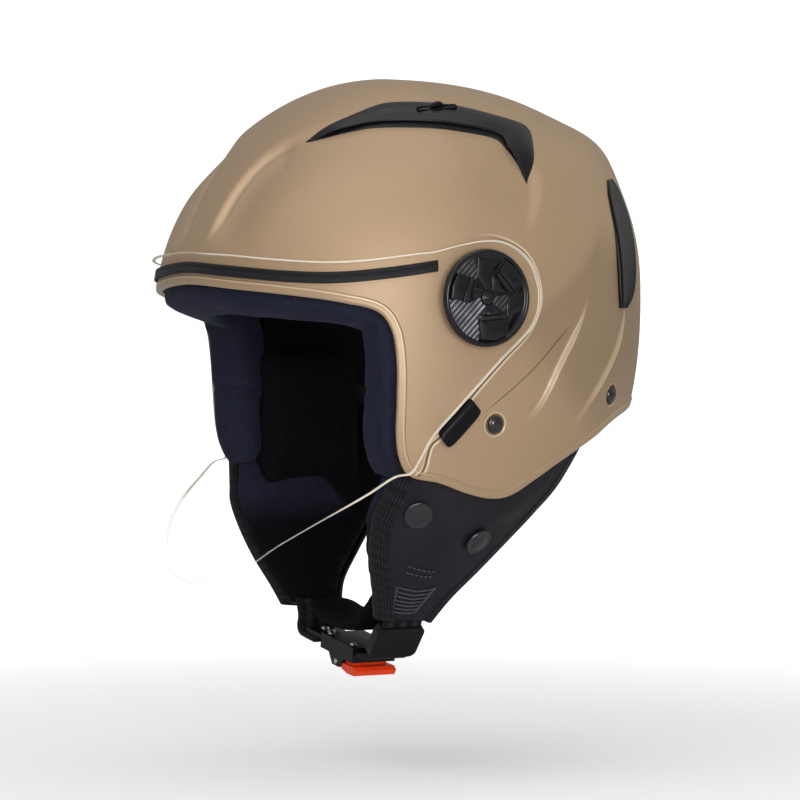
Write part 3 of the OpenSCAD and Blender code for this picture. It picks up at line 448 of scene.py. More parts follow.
def mirrored(obj, name):
    # The wearer's right piece from the left one: x is turned round, and so is each face
    mesh = obj.data.copy()
    other = bpy.data.objects.new(name, mesh)
    scene.collection.objects.link(other)
    setCoordinates(other, coordinates(other) * [-1, 1, 1])
    mesh.flip_normals()
    return other


clothForm = {"frames": 20, "pressure": 4.0, "tension": 12, "bending": 1.5}


def swell(obj, voxel, cap):
    # The pad's cover blown up a little as cloth: a new mesh, frames of pressure, no point moves past cap
    modifier(obj, "remesh", "REMESH", mode="VOXEL", voxel_size=voxel * mm)
    baked(obj)
    before = coordinates(obj)
    settings = obj.modifiers.new("cloth", "CLOTH").settings
    settings.use_pressure = True
    settings.uniform_pressure_force = clothForm["pressure"]
    settings.effector_weights.gravity = 0
    settings.tension_stiffness = clothForm["tension"]
    settings.bending_stiffness = clothForm["bending"]
    for f in range(1, clothForm["frames"] + 1):
        scene.frame_set(f)
    move = vectors(current(obj).data, "co") * 1000 - before
    far = np.linalg.norm(move, axis=1, keepdims=True)
    obj.modifiers.clear()
    setCoordinates(obj, before + move * np.minimum(1, cap / np.maximum(far, 1e-6)))
    scene.frame_set(1)
    return subdivided(obj)


def sew(obj, lines, depth, width):
    # Grooves where seams run: points near a line sink by depth, less the further away they are
    p = coordinates(obj)
    sink(obj, depth * np.max([bell(lineField(p, np.asarray(line))[0] / width) for line in lines], axis=0))


def crease(obj, waves, height):
    # Soft folds: sines, each with the way that it runs, its length and where it starts
    p = coordinates(obj)
    total = sum(np.sin(p @ (np.array(w[:3]) * 2 * math.pi / w[3]) + w[4]) for w in waves)
    sink(obj, -total * height / len(waves))


# Materials

class Wire:
    # A socket's value, which can be reckoned with
    def __init__(self, maker, socket):
        self.maker = maker
        self.socket = socket

    def fn(self, operation, *others):
        return self.maker.maths(operation, self, *others)


def operator(operation, reflected):
    def work(wire, other):
        return wire.maker.maths(operation, *((other, wire) if reflected else (wire, other)))
    return work


for name, operation in (("add", "ADD"), ("sub", "SUBTRACT"), ("mul", "MULTIPLY"), ("truediv", "DIVIDE")):
    setattr(Wire, f"__{name}__", operator(operation, False))
    setattr(Wire, f"__r{name}__", operator(operation, True))


class Finish:
    # The nodes of a material, or of the world
    def __init__(self, name, owner=None):
        self.owner = owner or bpy.data.materials.new(name)
        self.owner.use_nodes = True
        self.tree = self.owner.node_tree
        self.tree.nodes.clear()

    def add(self, kind, settings=None, values=None, output=0):
        # Any node: its settings first, then the values and links of its sockets
        node = self.tree.nodes.new(kind)
        for key, value in (settings or {}).items():
            setattr(node, key, value)
        for key, value in (values or {}).items():
            socket = node.inputs[key]
            if isinstance(value, Wire):
                self.tree.links.new(value.socket, socket)
            else:
                colour = isinstance(value, tuple) and socket.type == "RGBA"
                socket.default_value = (*value, 1.0) if colour else value
        return Wire(self, node.outputs[output])

    def maths(self, operation, *values):
        return self.add("ShaderNodeMath", {"operation": operation}, dict(enumerate(values)))

    def place(self, output="Object"):
        return self.add("ShaderNodeTexCoord", output=output)

    def attribute(self, name, output):
        return self.add("ShaderNodeAttribute", {"attribute_name": name}, output=output)

    def ray(self, kind):
        return self.add("ShaderNodeLightPath", output=kind)

    def stretched(self, place, z):
        return self.add("ShaderNodeMapping", None, {"Vector": place, "Scale": (1.0, 1.0, z)})

    def noise(self, place, scale, detail=3.0, rough=0.55):
        values = {"Vector": place, "Scale": scale, "Detail": detail, "Roughness": rough}
        return self.add("ShaderNodeTexNoise", None, values)

    def cells(self, place, scale, feature="F1"):
        return self.add("ShaderNodeTexVoronoi", {"feature": feature}, {"Vector": place, "Scale": scale})

    def part(self, place, axis):
        return self.add("ShaderNodeSeparateXYZ", None, {0: place}, output=axis)

    def step(self, value, low, high):
        values = {"Value": value, "From Min": low, "From Max": high, "To Min": 0.0, "To Max": 1.0}
        return self.add("ShaderNodeMapRange", {"interpolation_type": "SMOOTHSTEP"}, values)

    def within(self, value, low, high, fade, fadeHigh=None):
        # 1 from low to high, with a fade at each end
        return self.step(value, low - fade, low) * (1 - self.step(value, high, high + (fadeHigh or fade)))

    def bell(self, across, middle, wide):
        t = (across - middle) / wide
        return (t * t * -1.0).fn("EXPONENT")

    def blend(self, amount, a, b):
        return self.add("ShaderNodeMix", {"data_type": "RGBA"}, {"Factor": amount, 6: a, 7: b}, output=2)

    def bump(self, height, strength, distance):
        values = {"Height": height, "Strength": strength, "Distance": distance}
        return self.add("ShaderNodeBump", None, values)

    def principled(self, values):
        return self.add("ShaderNodeBsdfPrincipled", None, values)

    def end(self, shader, kind="ShaderNodeOutputMaterial"):
        self.tree.links.new(shader.socket, self.tree.nodes.new(kind).inputs["Surface"])
        return self.owner


paint = {
    "base": (0.455, 0.312, 0.183), "shade": (0.405, 0.274, 0.160), "flake": (0.62, 0.46, 0.29),
    # bright and dark are the colours of the painted highlights and the painted shade
    "bright": (0.93, 0.74, 0.50), "dark": (0.10, 0.06, 0.035),
    # Each crisp line: its field, its place across the field, its width, how much painted highlight and
    # painted shade it adds, and how high it is
    "lines": [
        ["lip", 0.0, 0.5, 0.6, 0, 0.45], ["lip", -1.3, 0.5, 0, 0.85, -0.5], ["lip", -2.7, 0.6, 0.9, 0, 0.25],
        ["bladeA", -1.9, 0.5, 0.85, 0, 0.3], ["bladeA", -0.8, 0.8, 0.51, 0, 0.18],
        ["bladeA", 0.3, 0.45, 0.85, 0, 0.3],
        ["bladeB", 0.1, 0.5, 0.85, 0, 0.3], ["bladeB", -1.3, 1.2, 0.3825, 0, 0.135],
        ["score", 0.0, 0.35, 0, 0.7, -0.3], ["dimple", 6.4, 0.4, 0.7, 0, 0.25],
        ["dimple", 5.3, 0.5, 0, 0.85, 0], ["panel", 1.6, 1.6, 0, 0.16, 0]],
}


def lacquer(m):
    # Matte metallic lacquer: fine flake and a slow change of tone. Gives its colour, grain and roughness
    p = m.place()
    slow = m.noise(p, 7.0, 2.0)
    flake = m.noise(p, 2600.0, 1.0)
    dust = m.noise(p, 900.0, 2.0)
    tone = m.blend(slow, paint["shade"], paint["base"])
    tone = m.blend(m.step(flake, 0.4, 0.75) * 0.16, tone, paint["flake"])
    return tone, (dust + flake * 0.5) * 0.012, 0.50 + slow * 0.05


def beadFinish():
    # The lacquer, with a painted highlight along the ridge of the front edge
    m = Finish("goldBeading")
    tone, grain, rough = lacquer(m)
    uv = m.place("UV")
    front = m.step((m.part(uv, "X") - 0.5).fn("ABSOLUTE"), 0.225, 0.25)
    # Painted highlight: a bright line along the bead's ridge, on the front part only
    ridgeHighlight = m.bell(m.part(uv, "Y"), 0.130, 0.028) * front * 0.6
    return m.end(m.principled({
        "Base Color": m.blend(ridgeHighlight, tone, paint["bright"]), "Metallic": 0.3, "Roughness": rough - 0.16,
        "Coat Weight": 0.4, "Coat Roughness": 0.2, "Normal": m.bump(grain, 1.0, 0.001)}))


def paintFinish():
    # The lacquer with crisp lines from the shell's fields, drawn as painted highlights, painted shade and
    # bumps: the distance across a line in millimetres, and the line's strength
    m = Finish("goldPaint")
    tone, grain, rough = lacquer(m)
    fields = {}
    for key in dict.fromkeys([line[0] for line in paint["lines"]] + ["soft"]):
        both = m.attribute(key, "Vector")
        fields[key] = (m.part(both, "X"), m.part(both, "Y"))
    # Painted highlight: the panel's bevel is lightened
    across, strength = fields["panel"]
    bevel = m.step(across, -5.2, -0.3) * (1 - m.step(across, 0.0, 26.0)) * strength
    # Painted shade: the lacquer behind the soft line is darkened
    across, strength = fields["soft"]
    behind = m.step(across, -5.0, 6.0) * (1 - m.step(across, 50.0, 110.0)) * strength
    light, dark, height = bevel * 0.2, behind * 0.24, grain - bevel * 1.6
    for key, middle, wide, lineHighlight, lineShade, higher in paint["lines"]:
        across, strength = fields[key]
        line = m.bell(across, middle, wide) * strength
        light = light + line * lineHighlight
        dark = dark + line * lineShade
        height = height + line * higher
    light, dark = light.fn("MINIMUM", 0.95), dark.fn("MINIMUM", 0.95)
    return m.end(m.principled({
        "Base Color": m.blend(dark, m.blend(light, tone, paint["bright"]), paint["dark"]),
        "Metallic": 0.3, "Roughness": rough - light * 0.12, "Coat Weight": 0.22, "Coat Roughness": 0.35,
        "Normal": m.bump(height, 1.0, 0.001)}))


def plasticFinish(name, base, rough, grain=900.0, height=0.08, coat=0.0, metallic=0.0, mirror=0.25):
    # Moulded plastic: fine grain, faint flow marks, slightly paler where it is rubbed
    m = Finish(name)
    p = m.place()
    flow = m.noise(m.stretched(p, 3.0), 28.0, 3.0)
    rubbed = tuple(min(1.0, c * 1.5 + 0.003) for c in base)
    return m.end(m.principled({
        "Base Color": m.blend(m.step(flow, 0.45, 0.8) * 0.5, base, rubbed),
        "Roughness": rough + flow * 0.12 - 0.06, "Metallic": metallic, "Coat Weight": coat,
        "Coat Roughness": 0.08, "Specular IOR Level": mirror,
        "Normal": m.bump(m.noise(p, grain, 3.0), height, 0.0004)}))


def metalFinish(name, base, rough, scratch):
    # Plated metal: fine brushed lines and dull spots
    m = Finish(name)
    p = m.place()
    spots = m.noise(p, 90.0, 4.0)
    brushed = m.noise(m.stretched(p, 12.0), 300.0, 3.0)
    return m.end(m.principled({
        "Base Color": m.blend(m.step(spots, 0.4, 0.75) * 0.5, base, tuple(c * 0.7 for c in base)),
        "Metallic": 1.0, "Roughness": rough + spots * 0.15, "Normal": m.bump(brushed, scratch, 0.0002)}))


def liningFinish(name, base, light, scale=520.0, sheen=0.05, border=False):
    # Brushed knit: short rows of loops, lint, a soft sheen at grazing angles. With a border, the cloth is
    # black low down and behind a slanted line, a second cloth that is also painted shade in the flap's
    # hollow, and only its front border has the colour
    m = Finish(name)
    p = m.place()
    loops = m.cells(m.stretched(p, 0.7), scale)
    lint = m.noise(p, 240.0, 4.0, 0.7)
    slow = m.noise(p, 22.0, 3.0)
    colour = m.blend(m.step(lint, 0.32, 0.68) * 0.7 + slow * 0.3, base, light)
    if border:
        # Second cloth and painted shade: black below and behind the slanted line
        height = m.part(p, "Z")
        inner = m.part(p, "Y") + height * 0.71 + 0.065
        navy = m.step(height, -0.132, -0.108) * (1 - m.step(inner, -0.003, 0.003))
        colour = m.blend(navy, (0.0018, 0.0018, 0.0026), colour)
    return m.end(m.principled({
        "Base Color": colour, "Roughness": 0.9, "Sheen Weight": sheen, "Sheen Roughness": 0.4,
        "Sheen Tint": (0.5, 0.55, 0.9), "Specular IOR Level": 0.1,
        "Normal": m.bump(loops * 0.5 + lint * 0.4, 0.2, 0.0005)}))


def leatherFinish(name, base, light):
    # Pebbled leatherette: round cells with creases between
    m = Finish(name)
    p = m.place()
    slow = m.noise(p, 16.0, 3.0)
    height = (1 - m.cells(p, 620.0)) * 0.5 + m.step(m.cells(p, 300.0, "DISTANCE_TO_EDGE"), 0.0, 0.12)
    return m.end(m.principled({
        "Base Color": m.blend(m.step(slow, 0.35, 0.75), base, light), "Roughness": 0.42 + slow * 0.16,
        "Specular IOR Level": 0.28, "Normal": m.bump(height, 0.22, 0.0005)}))


def webbingFinish(name, base, light):
    # Woven tape on the piece's UV map, in centimetres: ribs along it and the weft's steps across
    m = Finish(name)
    p = m.place("UV")
    ribs, wefts = 9.0, 2.0
    rib = (m.part(p, "X") * (2 * math.pi * ribs)).fn("SINE")
    weft = (m.part(p, "Y") * (2 * math.pi * wefts) + rib * 1.6).fn("SINE")
    lint = m.noise(m.place(), 500.0, 3.0)
    return m.end(m.principled({
        "Base Color": m.blend(m.step(rib * 0.5 + weft * 0.3 + lint * 0.6, 0.0, 1.0), base, light),
        "Roughness": 0.85, "Sheen Weight": 0.04, "Specular IOR Level": 0.2,
        "Normal": m.bump(rib * 0.6 + weft * 0.5 + lint * 0.3, 0.5, 0.0004)}))


def foamFinish():
    # Moulded beads pressed together
    m = Finish("beadFoam")
    p = m.place()
    colour = m.blend(m.noise(p, 150.0, 2.0), (0.004, 0.004, 0.0045), (0.009, 0.009, 0.010))
    beads = m.bump(1 - m.cells(p, 300.0), 0.5, 0.001)
    return m.end(m.principled({"Base Color": colour, "Roughness": 0.85, "Normal": beads}))


def clearFinish():
    # Clear sheet: lets nearly all light through, mirrors more the flatter it is seen
    m = Finish("clearSheet")
    p = m.place()
    tint = m.noise(p, 5.0, 2.0)
    gloss = m.principled({"Base Color": m.blend(tint, (0.02, 0.02, 0.022), (0.03, 0.03, 0.032)),
                          "Roughness": 0.3, "IOR": 1.5})
    through = m.add("ShaderNodeBsdfTransparent", None, {"Color": (1.0, 1.0, 1.0)})
    flat = m.add("ShaderNodeLayerWeight", None, {"Blend": 0.12}, output="Fresnel")
    both = m.add("ShaderNodeMixShader", None, {0: flat * 0.06 + 0.004, 1: through, 2: gloss})
    # The outer millimetre is painted pale as a highlight on the sheet's polished edge, strongest above and at
    # the sides
    colour = m.blend(tint, (0.84, 0.75, 0.62), (0.90, 0.82, 0.70))
    edgeHighlight = m.principled({"Base Color": colour, "Roughness": 0.25})
    beside = m.part(p, "X").fn("ABSOLUTE")
    upper = m.step(m.part(p, "Z"), -0.035, -0.015) * m.step(beside, 0.01, 0.03)
    strong = upper.fn("MAXIMUM", m.step(beside, 0.088, 0.1)) * 0.58 + 0.32
    edge = (1 - m.step(m.attribute("rimGap", "Fac"), 0.45, 0.8)) * strong
    return m.end(m.add("ShaderNodeMixShader", None, {0: edge, 1: both, 2: edgeHighlight}))


def capFinish():
    # Gloss black with woven carbon in three of the wedges, by the angle round the pivot's axis
    look = {"black": (0.005, 0.005, 0.007), "dark": (0.010, 0.010, 0.014), "bright": (0.50, 0.50, 0.54)}
    strandsPerMetre, wave, faceX = 1180.0, 6 * math.pi, 0.1272
    m = Finish("capGloss")
    p = m.place()
    y, z = m.part(p, "Y"), m.part(p, "Z")
    u, v = y * strandsPerMetre, z * strandsPerMetre
    twill = m.step(((u.fn("FLOOR") - v.fn("FLOOR")) * 0.25).fn("FRACT"), 0.49, 0.51)
    strands = (u * wave).fn("SINE") * twill + (v * wave).fn("SINE") * (1 - twill)
    shine = m.step(m.noise(p, 90.0, 1.0), 0.35, 0.7)
    weave = m.blend(twill * (0.35 + shine * 0.6) + strands * 0.06, look["dark"], look["bright"])
    angle = z.fn("ARCTAN2", y) * (180 / math.pi)
    radius = (y * y + z * z).fn("SQRT") * 1000.0
    low = m.within(angle, -177.0, -105.0, 1.0)
    high = m.within(angle, 113.0, 144.0, 1.0) * m.step(radius, 11.5, 12.0)
    small = m.within(angle, -37.0, 7.0, 1.0) * (1 - m.step(radius, 12.6, 12.9))
    face = 1 - m.step(m.part(p, "X").fn("ABSOLUTE"), faceX, faceX + 0.0002)
    mask = m.within(radius, 4.3, 23.4, 0.3, 0.4) * (low + high * 0.45 + small * 0.35) * face
    haze = m.noise(p, 60.0, 3.0)
    return m.end(m.principled({
        "Base Color": m.blend(mask, look["black"], weave), "Roughness": 0.2 + haze * 0.1 + mask * 0.12,
        "Coat Weight": 0.2, "Coat Roughness": 0.06, "Specular IOR Level": 0.3,
        "Normal": m.bump(strands * mask + haze * 0.2, 0.12, 0.0004)}))


finishes = {
    "paint": paintFinish(), "bead": beadFinish(), "clear": clearFinish(), "cap": capFinish(),
    "foam": foamFinish(),
    "lining": liningFinish("navyLining", (0.0125, 0.0132, 0.026), (0.0195, 0.0205, 0.039)),
    "black": liningFinish("blackLining", (0.0012, 0.0012, 0.0022), (0.0028, 0.0028, 0.0048), sheen=0.0),
    "liner": liningFinish("darkLiner", (0.0010, 0.0010, 0.0018), (0.0020, 0.0020, 0.0034), scale=700.0,
                          sheen=0.0),
    "flapLining": liningFinish("flapLining", (0.0110, 0.0118, 0.024), (0.0180, 0.0190, 0.036), border=True),
    "leather": leatherFinish("leatherette", (0.0065, 0.0062, 0.0098), (0.0110, 0.0105, 0.0165)),
    "webbing": webbingFinish("webbing", (0.0025, 0.0025, 0.0035), (0.0200, 0.0195, 0.0250)),
    "vent": plasticFinish("ventPlastic", (0.0070, 0.0066, 0.0074), rough=0.32, coat=0.03, mirror=0.3),
    "trim": plasticFinish("tabPlastic", (0.0035, 0.0035, 0.0045), rough=0.30, grain=800.0, mirror=0.16),
    "rubber": plasticFinish("sealRubber", (0.010, 0.0105, 0.013), rough=0.6, grain=500.0, height=0.2),
    "buckle": plasticFinish("bucklePlastic", (0.0045, 0.0040, 0.0052), rough=0.36, mirror=0.2),
    "lever": plasticFinish("leverPlastic", (0.90, 0.055, 0.008), rough=0.34, height=0.06, coat=0.2),
    "button": plasticFinish("buttonPlastic", (0.055, 0.055, 0.062), rough=0.22, height=0.05, coat=0.1,
                            metallic=0.8, mirror=0.4),
    "thread": plasticFinish("thread", (0.075, 0.075, 0.085), rough=0.7, grain=2500.0, height=0.4),
    "steel": metalFinish("steel", (0.55, 0.55, 0.57), rough=0.28, scratch=0.09),
    "chrome": metalFinish("darkChrome", (0.085, 0.080, 0.078), rough=0.10, scratch=0.03),
}
print("materials ready")


def wear(obj, finish, body="helmet", nodes=()):
    # Gives a piece its material and body, and hides the CAD nodes it stands for
    obj.data.materials.clear()
    obj.data.materials.append(finishes[finish])
    if body:
        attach(obj, body)
    if nodes:
        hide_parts(*nodes)


def pair(obj, finish, node=None, body="helmet"):
    # Dresses the wearer's left piece, then makes the right one from it and dresses that
    wear(obj, finish, body, [node] if node else [])
    right = mirrored(obj, obj.name.replace("Left", "Right"))
    nodes = [node.replace("left", "right")] if node else []
    wear(right, finish, body.replace("left", "right"), nodes)


def dress(node, finish, bevel):
    # A CAD node that stays: its material, and soft edges where they show
    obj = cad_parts[node]
    slots = obj.data.materials
    if not slots:
        slots.append(None)
    for k in range(len(slots)):
        slots[k] = finishes[finish]
    if bevel:
        modifier(obj, "weld", "WELD", merge_threshold=0.00002)
        softEdges(obj, bevel, 25)


# Shell: wide relief in the mesh, and fields from which the paint draws the crisp lines as painted highlights
# and painted shade

# A line's side says which way across it counts as plus; fade is the share of it that comes in, and where
# it starts to go out
shellRelief = {
    "panel": {"line": [[7.7, 13.9], [10.3, 21.4], [12.3, 29], [16.3, 37.7], [23.9, 44.1], [34.4, 46.9],
                       [42, 47.6], [50.5, 48.4], [60, 48.9], [69, 48.3], [80, 47.3], [91, 46.2],
                       [101, 44.2], [106.2, 41.8], [108.2, 38.6], [109.2, 34], [110, 29], [106.4, 21],
                       [101.3, 14.8]],
              "side": 1, "depth": 3.0, "fade": [1 / 14, 0.88], "recover": [6.0, 38.0], "painted": [0.26, 0.3],
              "band": [[0, 4.5], [0.22, 6.5], [0.34, 11], [0.6, 13], [0.82, 11], [0.93, 6.5], [1, 5.5]]},
    "soft": {"line": [[132.2, 20], [126, 9.5], [119.2, 4.3], [107.9, -3.9], [98, -14]],
             "side": -1, "depth": 1.6, "fade": [0.25, 0.7], "edge": 11.0, "recover": [4.0, 80.0]},
    "bladeA": {"line": [[125, 1], [121.7, -5.9], [114.9, -16.4], [109.7, -25.3], [104.6, -30.6]],
               "side": -1, "high": 1.9, "fade": [0.16, 0.55], "front": 3.0, "back": 15.0},
    "bladeB": {"line": [[141.5, 2], [137.1, -9.5], [130.1, -19.4], [120.8, -30.6]],
               "side": -1, "high": 1.3, "fade": [0.22, 0.6], "front": 3.0, "back": 13.0},
    "score": {"line": [[119.6, -5.4], [105, -18.5], [90.8, -28.5]], "side": 1, "fade": [1 / 6, 0.8]},
    "lip": {"line": [[87, 14.2], [92, 14.7], [96.8, 14.0], [101.6, 11.8], [105.2, 7.9], [107, 2.2],
                     [106.8, -3.2], [104, -8.2], [97.0, -14.4], [86.8, -24.2], [79.8, -31.4], [76.3, -34.0],
                     [74.6, -38.6], [72.2, -40.0]],
            "side": 1, "high": 0.7, "wide": 2.4, "start": 0.2},
    "blades": {"rise": 0.4, "narrow": 0.3, "widen": 0.35},
    "rivets": [[95.7, -30.1], [135.6, -21.3]],
    "dimple": {"depth": 0.9, "from": 4.9, "over": 1.6},
    "seat": {"x": 118.6, "r": 18.5, "over": 1.2, "free": 200},
    "away": 99.0,
}
creases = ("panel", "soft", "bladeA", "bladeB", "score", "lip")
for key in creases:
    path = spline(shellRelief[key]["line"], 8)
    shellRelief[key]["run"] = skin(heading(path[:, 0], path[:, 1]))


def faded(along, start, end):
    return smooth(along / start) * (1 - smooth((along - end) / (1 - end)))


def shellPoints(d):
    # The shared form moved along its normal by the relief, and the fields: across a line, and its strength
    flat = d.reshape(-1, 3)
    half = flat.copy()
    half[:, 0] = np.abs(half[:, 0])
    base = skin(half)
    across, along, fields = {}, {}, {}
    for key in creases:
        q = shellRelief[key]
        far, side, along[key] = lineField(base, q["run"])
        across[key] = far * side * q["side"]
        fade = faded(along[key], *q["fade"]) if "fade" in q else smooth(along[key] / q["start"])
        fields[key] = [across[key], fade]
    # The panel falls over the band's width down to its line, then comes back slowly below it
    q = shellRelief["panel"]
    band = np.interp(along["panel"], *np.array(q["band"]).T)
    keep, reach = q["recover"]
    low = smooth(across["panel"] / band + 1) * (1 - smooth((across["panel"] - keep) / reach))
    move = -q["depth"] * low * fields["panel"][1]
    start, end = q["painted"]
    fields["panel"][1] = fields["panel"][1] * (1 - smooth((along["panel"] - start) / (end - start)))
    q = shellRelief["soft"]
    keep, reach = q["recover"]
    low = smooth(across["soft"] / q["edge"] + 0.5) * (1 - smooth((across["soft"] - keep) / reach))
    move -= q["depth"] * low * fields["soft"][1]
    # Blades are steep in front and fall off slowly behind. At their upper ends they grow from nothing, and
    # their painted lines are narrow
    both = shellRelief["blades"]
    for key in ("bladeA", "bladeB"):
        q = shellRelief[key]
        ridge = np.where(across[key] < 0, smooth(across[key] / q["front"] + 1), bell(across[key] / q["back"]))
        move += q["high"] * ridge * smooth(along[key] / both["rise"]) * fields[key][1]
        fields[key][0] = across[key] / mix(both["narrow"], 1, smooth(along[key] / both["widen"]))
    q = shellRelief["lip"]
    move += fields["lip"][1] * q["high"] * bell(across["lip"] / q["wide"])
    q = shellRelief["dimple"]
    holes = [np.linalg.norm(base - skin(heading(az, el)), axis=1) for az, el in shellRelief["rivets"]]
    nearest = np.minimum(np.min(holes, axis=0), shellRelief["away"])
    move -= q["depth"] * (1 - smooth((nearest - q["from"]) / q["over"]))
    fields["dimple"] = [nearest, np.ones(len(base))]
    points = skin(flat) + skinNormal(flat) * move[:, None]
    q = shellRelief["seat"]
    top = mix(q["x"], q["free"], smooth((np.hypot(points[:, 1], points[:, 2]) - q["r"]) / q["over"]))
    points[:, 0] = np.clip(points[:, 0], -top, top)
    return points.reshape(d.shape), fields


shellSize = {"cols": 540, "rows": 150, "reach": [0.012, 0.998], "innerRows": 6, "innerReach": [0.99, 0.02],
             "thicker": 0.5,
             "edge": [[0.0, 0.0], [0.25, -0.3], [0.3, -0.9], [0.3, -2.3], [0.25, -2.9], [0, -3.2]]}
u = np.arange(shellSize["cols"]) / shellSize["cols"]
rimWay, rimOff, rimOut = rim(u), offEdge(u), skinNormal(rim(u))
outerWays = [arcTo(rimWay, r) for r in np.linspace(*shellSize["reach"], shellSize["rows"])]
outer, fields = shellPoints(np.stack(outerWays))
edgeAt = skin(rimWay)
lean = edgeAt - skin(rimWay, shellForm["wall"])
shear = dot(lean, rimOff) / dot(lean, rimOut)


def overEdge(profile):
    # Each point of a profile: how far off the edge, and how far out of the surface, following the wall's lean
    q = np.asarray(profile, float)
    down = np.clip(q[:, 1], -shellForm["wall"], 0)
    off = q[:, :1, None] + down[:, None, None] * shear[None]
    return edgeAt[None] + rimOff[None] * off + rimOut[None] * q[:, 1:, None]


inner = np.stack([skin(arcTo(rimWay, r), shellForm["wall"] + shellSize["thicker"] * smooth((1 - r) / 0.1))
                  for r in np.linspace(*shellSize["innerReach"], shellSize["innerRows"])])
shell = gridMesh("shellSkin", np.concatenate([outer, overEdge(shellSize["edge"]), inner]))
bare = len(shell.data.vertices) - outer[..., 0].size
for key, (across, fade) in fields.items():
    lines = np.zeros((len(shell.data.vertices), 3), np.float32)
    lines[:, 0] = np.concatenate([across, np.full(bare, shellRelief["away"])])
    lines[:, 1] = np.concatenate([fade, np.zeros(bare)])
    shell.data.attributes.new(key, "FLOAT_VECTOR", "POINT").data.foreach_set("vector", lines.ravel())
wear(shell, "paint", nodes=["outer_shell"])
# The wall's inner side is bare plastic, and so is the fan that closes it
shell.data.materials.append(finishes["trim"])
cols, painted = shellSize["cols"], (len(outer) + len(shellSize["edge"])) * shellSize["cols"]
plain = np.arange(len(shell.data.polygons)) >= painted
plain[-2 * cols:-cols] = False
shell.data.polygons.foreach_set("material_index", plain.astype(np.int32))

# Beading: a soft channel over the edge, feathered out on the face
beadProfile = [[-3.7, 0.05], [-3.4, 0.22], [-3.0, 0.5], [-2.5, 0.66], [-2.0, 0.56], [-1.5, 0.42],
               [-0.6, 0.42], [0.5, 0.32], [1.15, -0.05], [1.5, -0.7], [1.6, -1.6], [1.5, -2.7], [1.2, -3.5],
               [0.5, -4.1], [-0.6, -4.3], [-1.9, -4.3], [-2.9, -4.1], [-3.1, -3.6], [-3.0, -3.3],
               [0.45, -3.25], [0.5, 0.02], [-3.7, 0.02]]
wear(gridMesh("edgeBeading", overEdge(beadProfile), ring=True), "bead", nodes=["edge_beading"])
print("shell ready", len(shell.data.polygons))


# Visor

# Half of its route round the face: bearing, and the elevations of its lower and upper edges
visorForm = {
    "thick": 2.0, "gapSide": 2.0, "gapFront": 3.6, "rows": 56, "steps": 12,
    "half": [[0, -54.5, 12.2], [20, -52.8, 11], [37, -48.2, 9.4], [50, -44.5, 8.6], [60, -41.5, 9.1],
             [67, -38.9, 10], [71.5, -38.4, 10.6], [73.8, -36, 10.9], [77, -31.6, 11.3], [83, -26.3, 12.8],
             [90, -20, 14], [95.8, -14.6, 13.8], [100.5, -10.6, 11.8], [104.2, -7, 8.2], [106.0, -3.4, 3.6],
             [106.5, -1, 0.8]],
    "hub": {"hole": 15.3, "out": 24, "cut": 2.2, "beside": 60},
}


def visorGap(az):
    c = np.maximum(0, np.cos(np.radians(az)))
    return mix(visorForm["gapSide"], visorForm["gapFront"], c * c)


halfRoute = spline(visorForm["half"], visorForm["steps"])
route = np.vstack([halfRoute[:0:-1] * [-1, 1, 1], halfRoute])
v = np.linspace(0, 1, visorForm["rows"])[:, None]
bearing = np.broadcast_to(route[:, 0], (len(v), len(route)))
lift = visorGap(bearing) + visorForm["thick"] / 2
sheet = skin(heading(bearing, mix(route[:, 1], route[:, 2], v)), -lift)
# The hub's hole: points near the pivot's axis move outwards, and the few faces in the middle go
hub = visorForm["hub"]
flat = sheet.reshape(-1, 3)
r = np.hypot(flat[:, 1], flat[:, 2])
beside = np.abs(flat[:, 0]) > hub["beside"]
moved = (hub["hole"] + r * (hub["out"] - hub["hole"]) / hub["out"]) / np.maximum(r, 0.01)
grow = np.where((r < hub["out"]) & beside, moved, 1)
nRows, nCols = sheet.shape[:2]
i, j = cellsOf(nRows - 1, nCols - 1)
quads = np.stack([i * nCols + j, i * nCols + j + 1, (i + 1) * nCols + j + 1, (i + 1) * nCols + j], axis=1)
quads = quads[~np.any(((r < hub["cut"]) & beside)[quads], axis=1)]
outline = np.concatenate([sheet[0], sheet[:, -1], sheet[-1, ::-1], sheet[::-1, 0]])[::3]
opened = flat * np.stack([np.ones(len(r)), grow, grow], axis=1)
visor = meshFrom("visorSheet", [(opened, quads.tolist())], attributes={"rimGap": lineField(flat, outline)[0]})
modifier(visor, "wall", "SOLIDIFY", thickness=visorForm["thick"] * mm, offset=0)
softEdges(visor, 0.6, 50)
wear(visor, "clear", "visor_group", ["visor"])
print("visor ready")

# Tabs on the visor's lower side edges: a rounded bar over the edge with a flange below the sheet
tabForm = {"a": [88.4, -25.8], "b": [80.5, -32.4], "long": 26.0, "wide": 9.0, "low": 2.4, "steps": 30,
           "narrower": 0.35,
           "section": [[-1.2, 1.7], [-0.97, 1.7], [-0.96, 3.9], [-0.86, 4.2], [-0.5, 4.35], [0, 4.4],
                       [0.5, 4.35], [0.88, 4.1], [0.99, 3.5], [1.0, 2.4], [0.99, 0.8], [0.5, 0.7],
                       [-0.5, 0.7], [-1.2, 0.7]]}
a, b = heading(*tabForm["a"]), heading(*tabForm["b"])
tabAcross = -unit(np.cross(b - a, a + b))
s = np.sin(np.linspace(-0.5, 0.5, tabForm["steps"]) * math.pi)
section = np.array(tabForm["section"])
taper = 1 - tabForm["narrower"] * np.abs(s) ** 8
run = 0.5 + s * tabForm["long"] / 2 / np.linalg.norm(skin(a) - skin(b))
aside = section[None, :, 0] * taper[:, None] * tabForm["wide"] / 2 / shellRadius(a, np.float64(0))
ways = unit(mix(a, b, run[:, None, None]) + tabAcross * aside[..., None])
lift = mix(tabForm["low"], section[:, 1], smooth((1 - np.abs(s)) / 0.05 + 0.45)[:, None])
lift = np.where(section[:, 0] < -1, section[:, 1], lift)
pair(gridMesh("visorTabLeft", skin(ways, -lift)), "trim", "visor_tab_left", "visor_group")

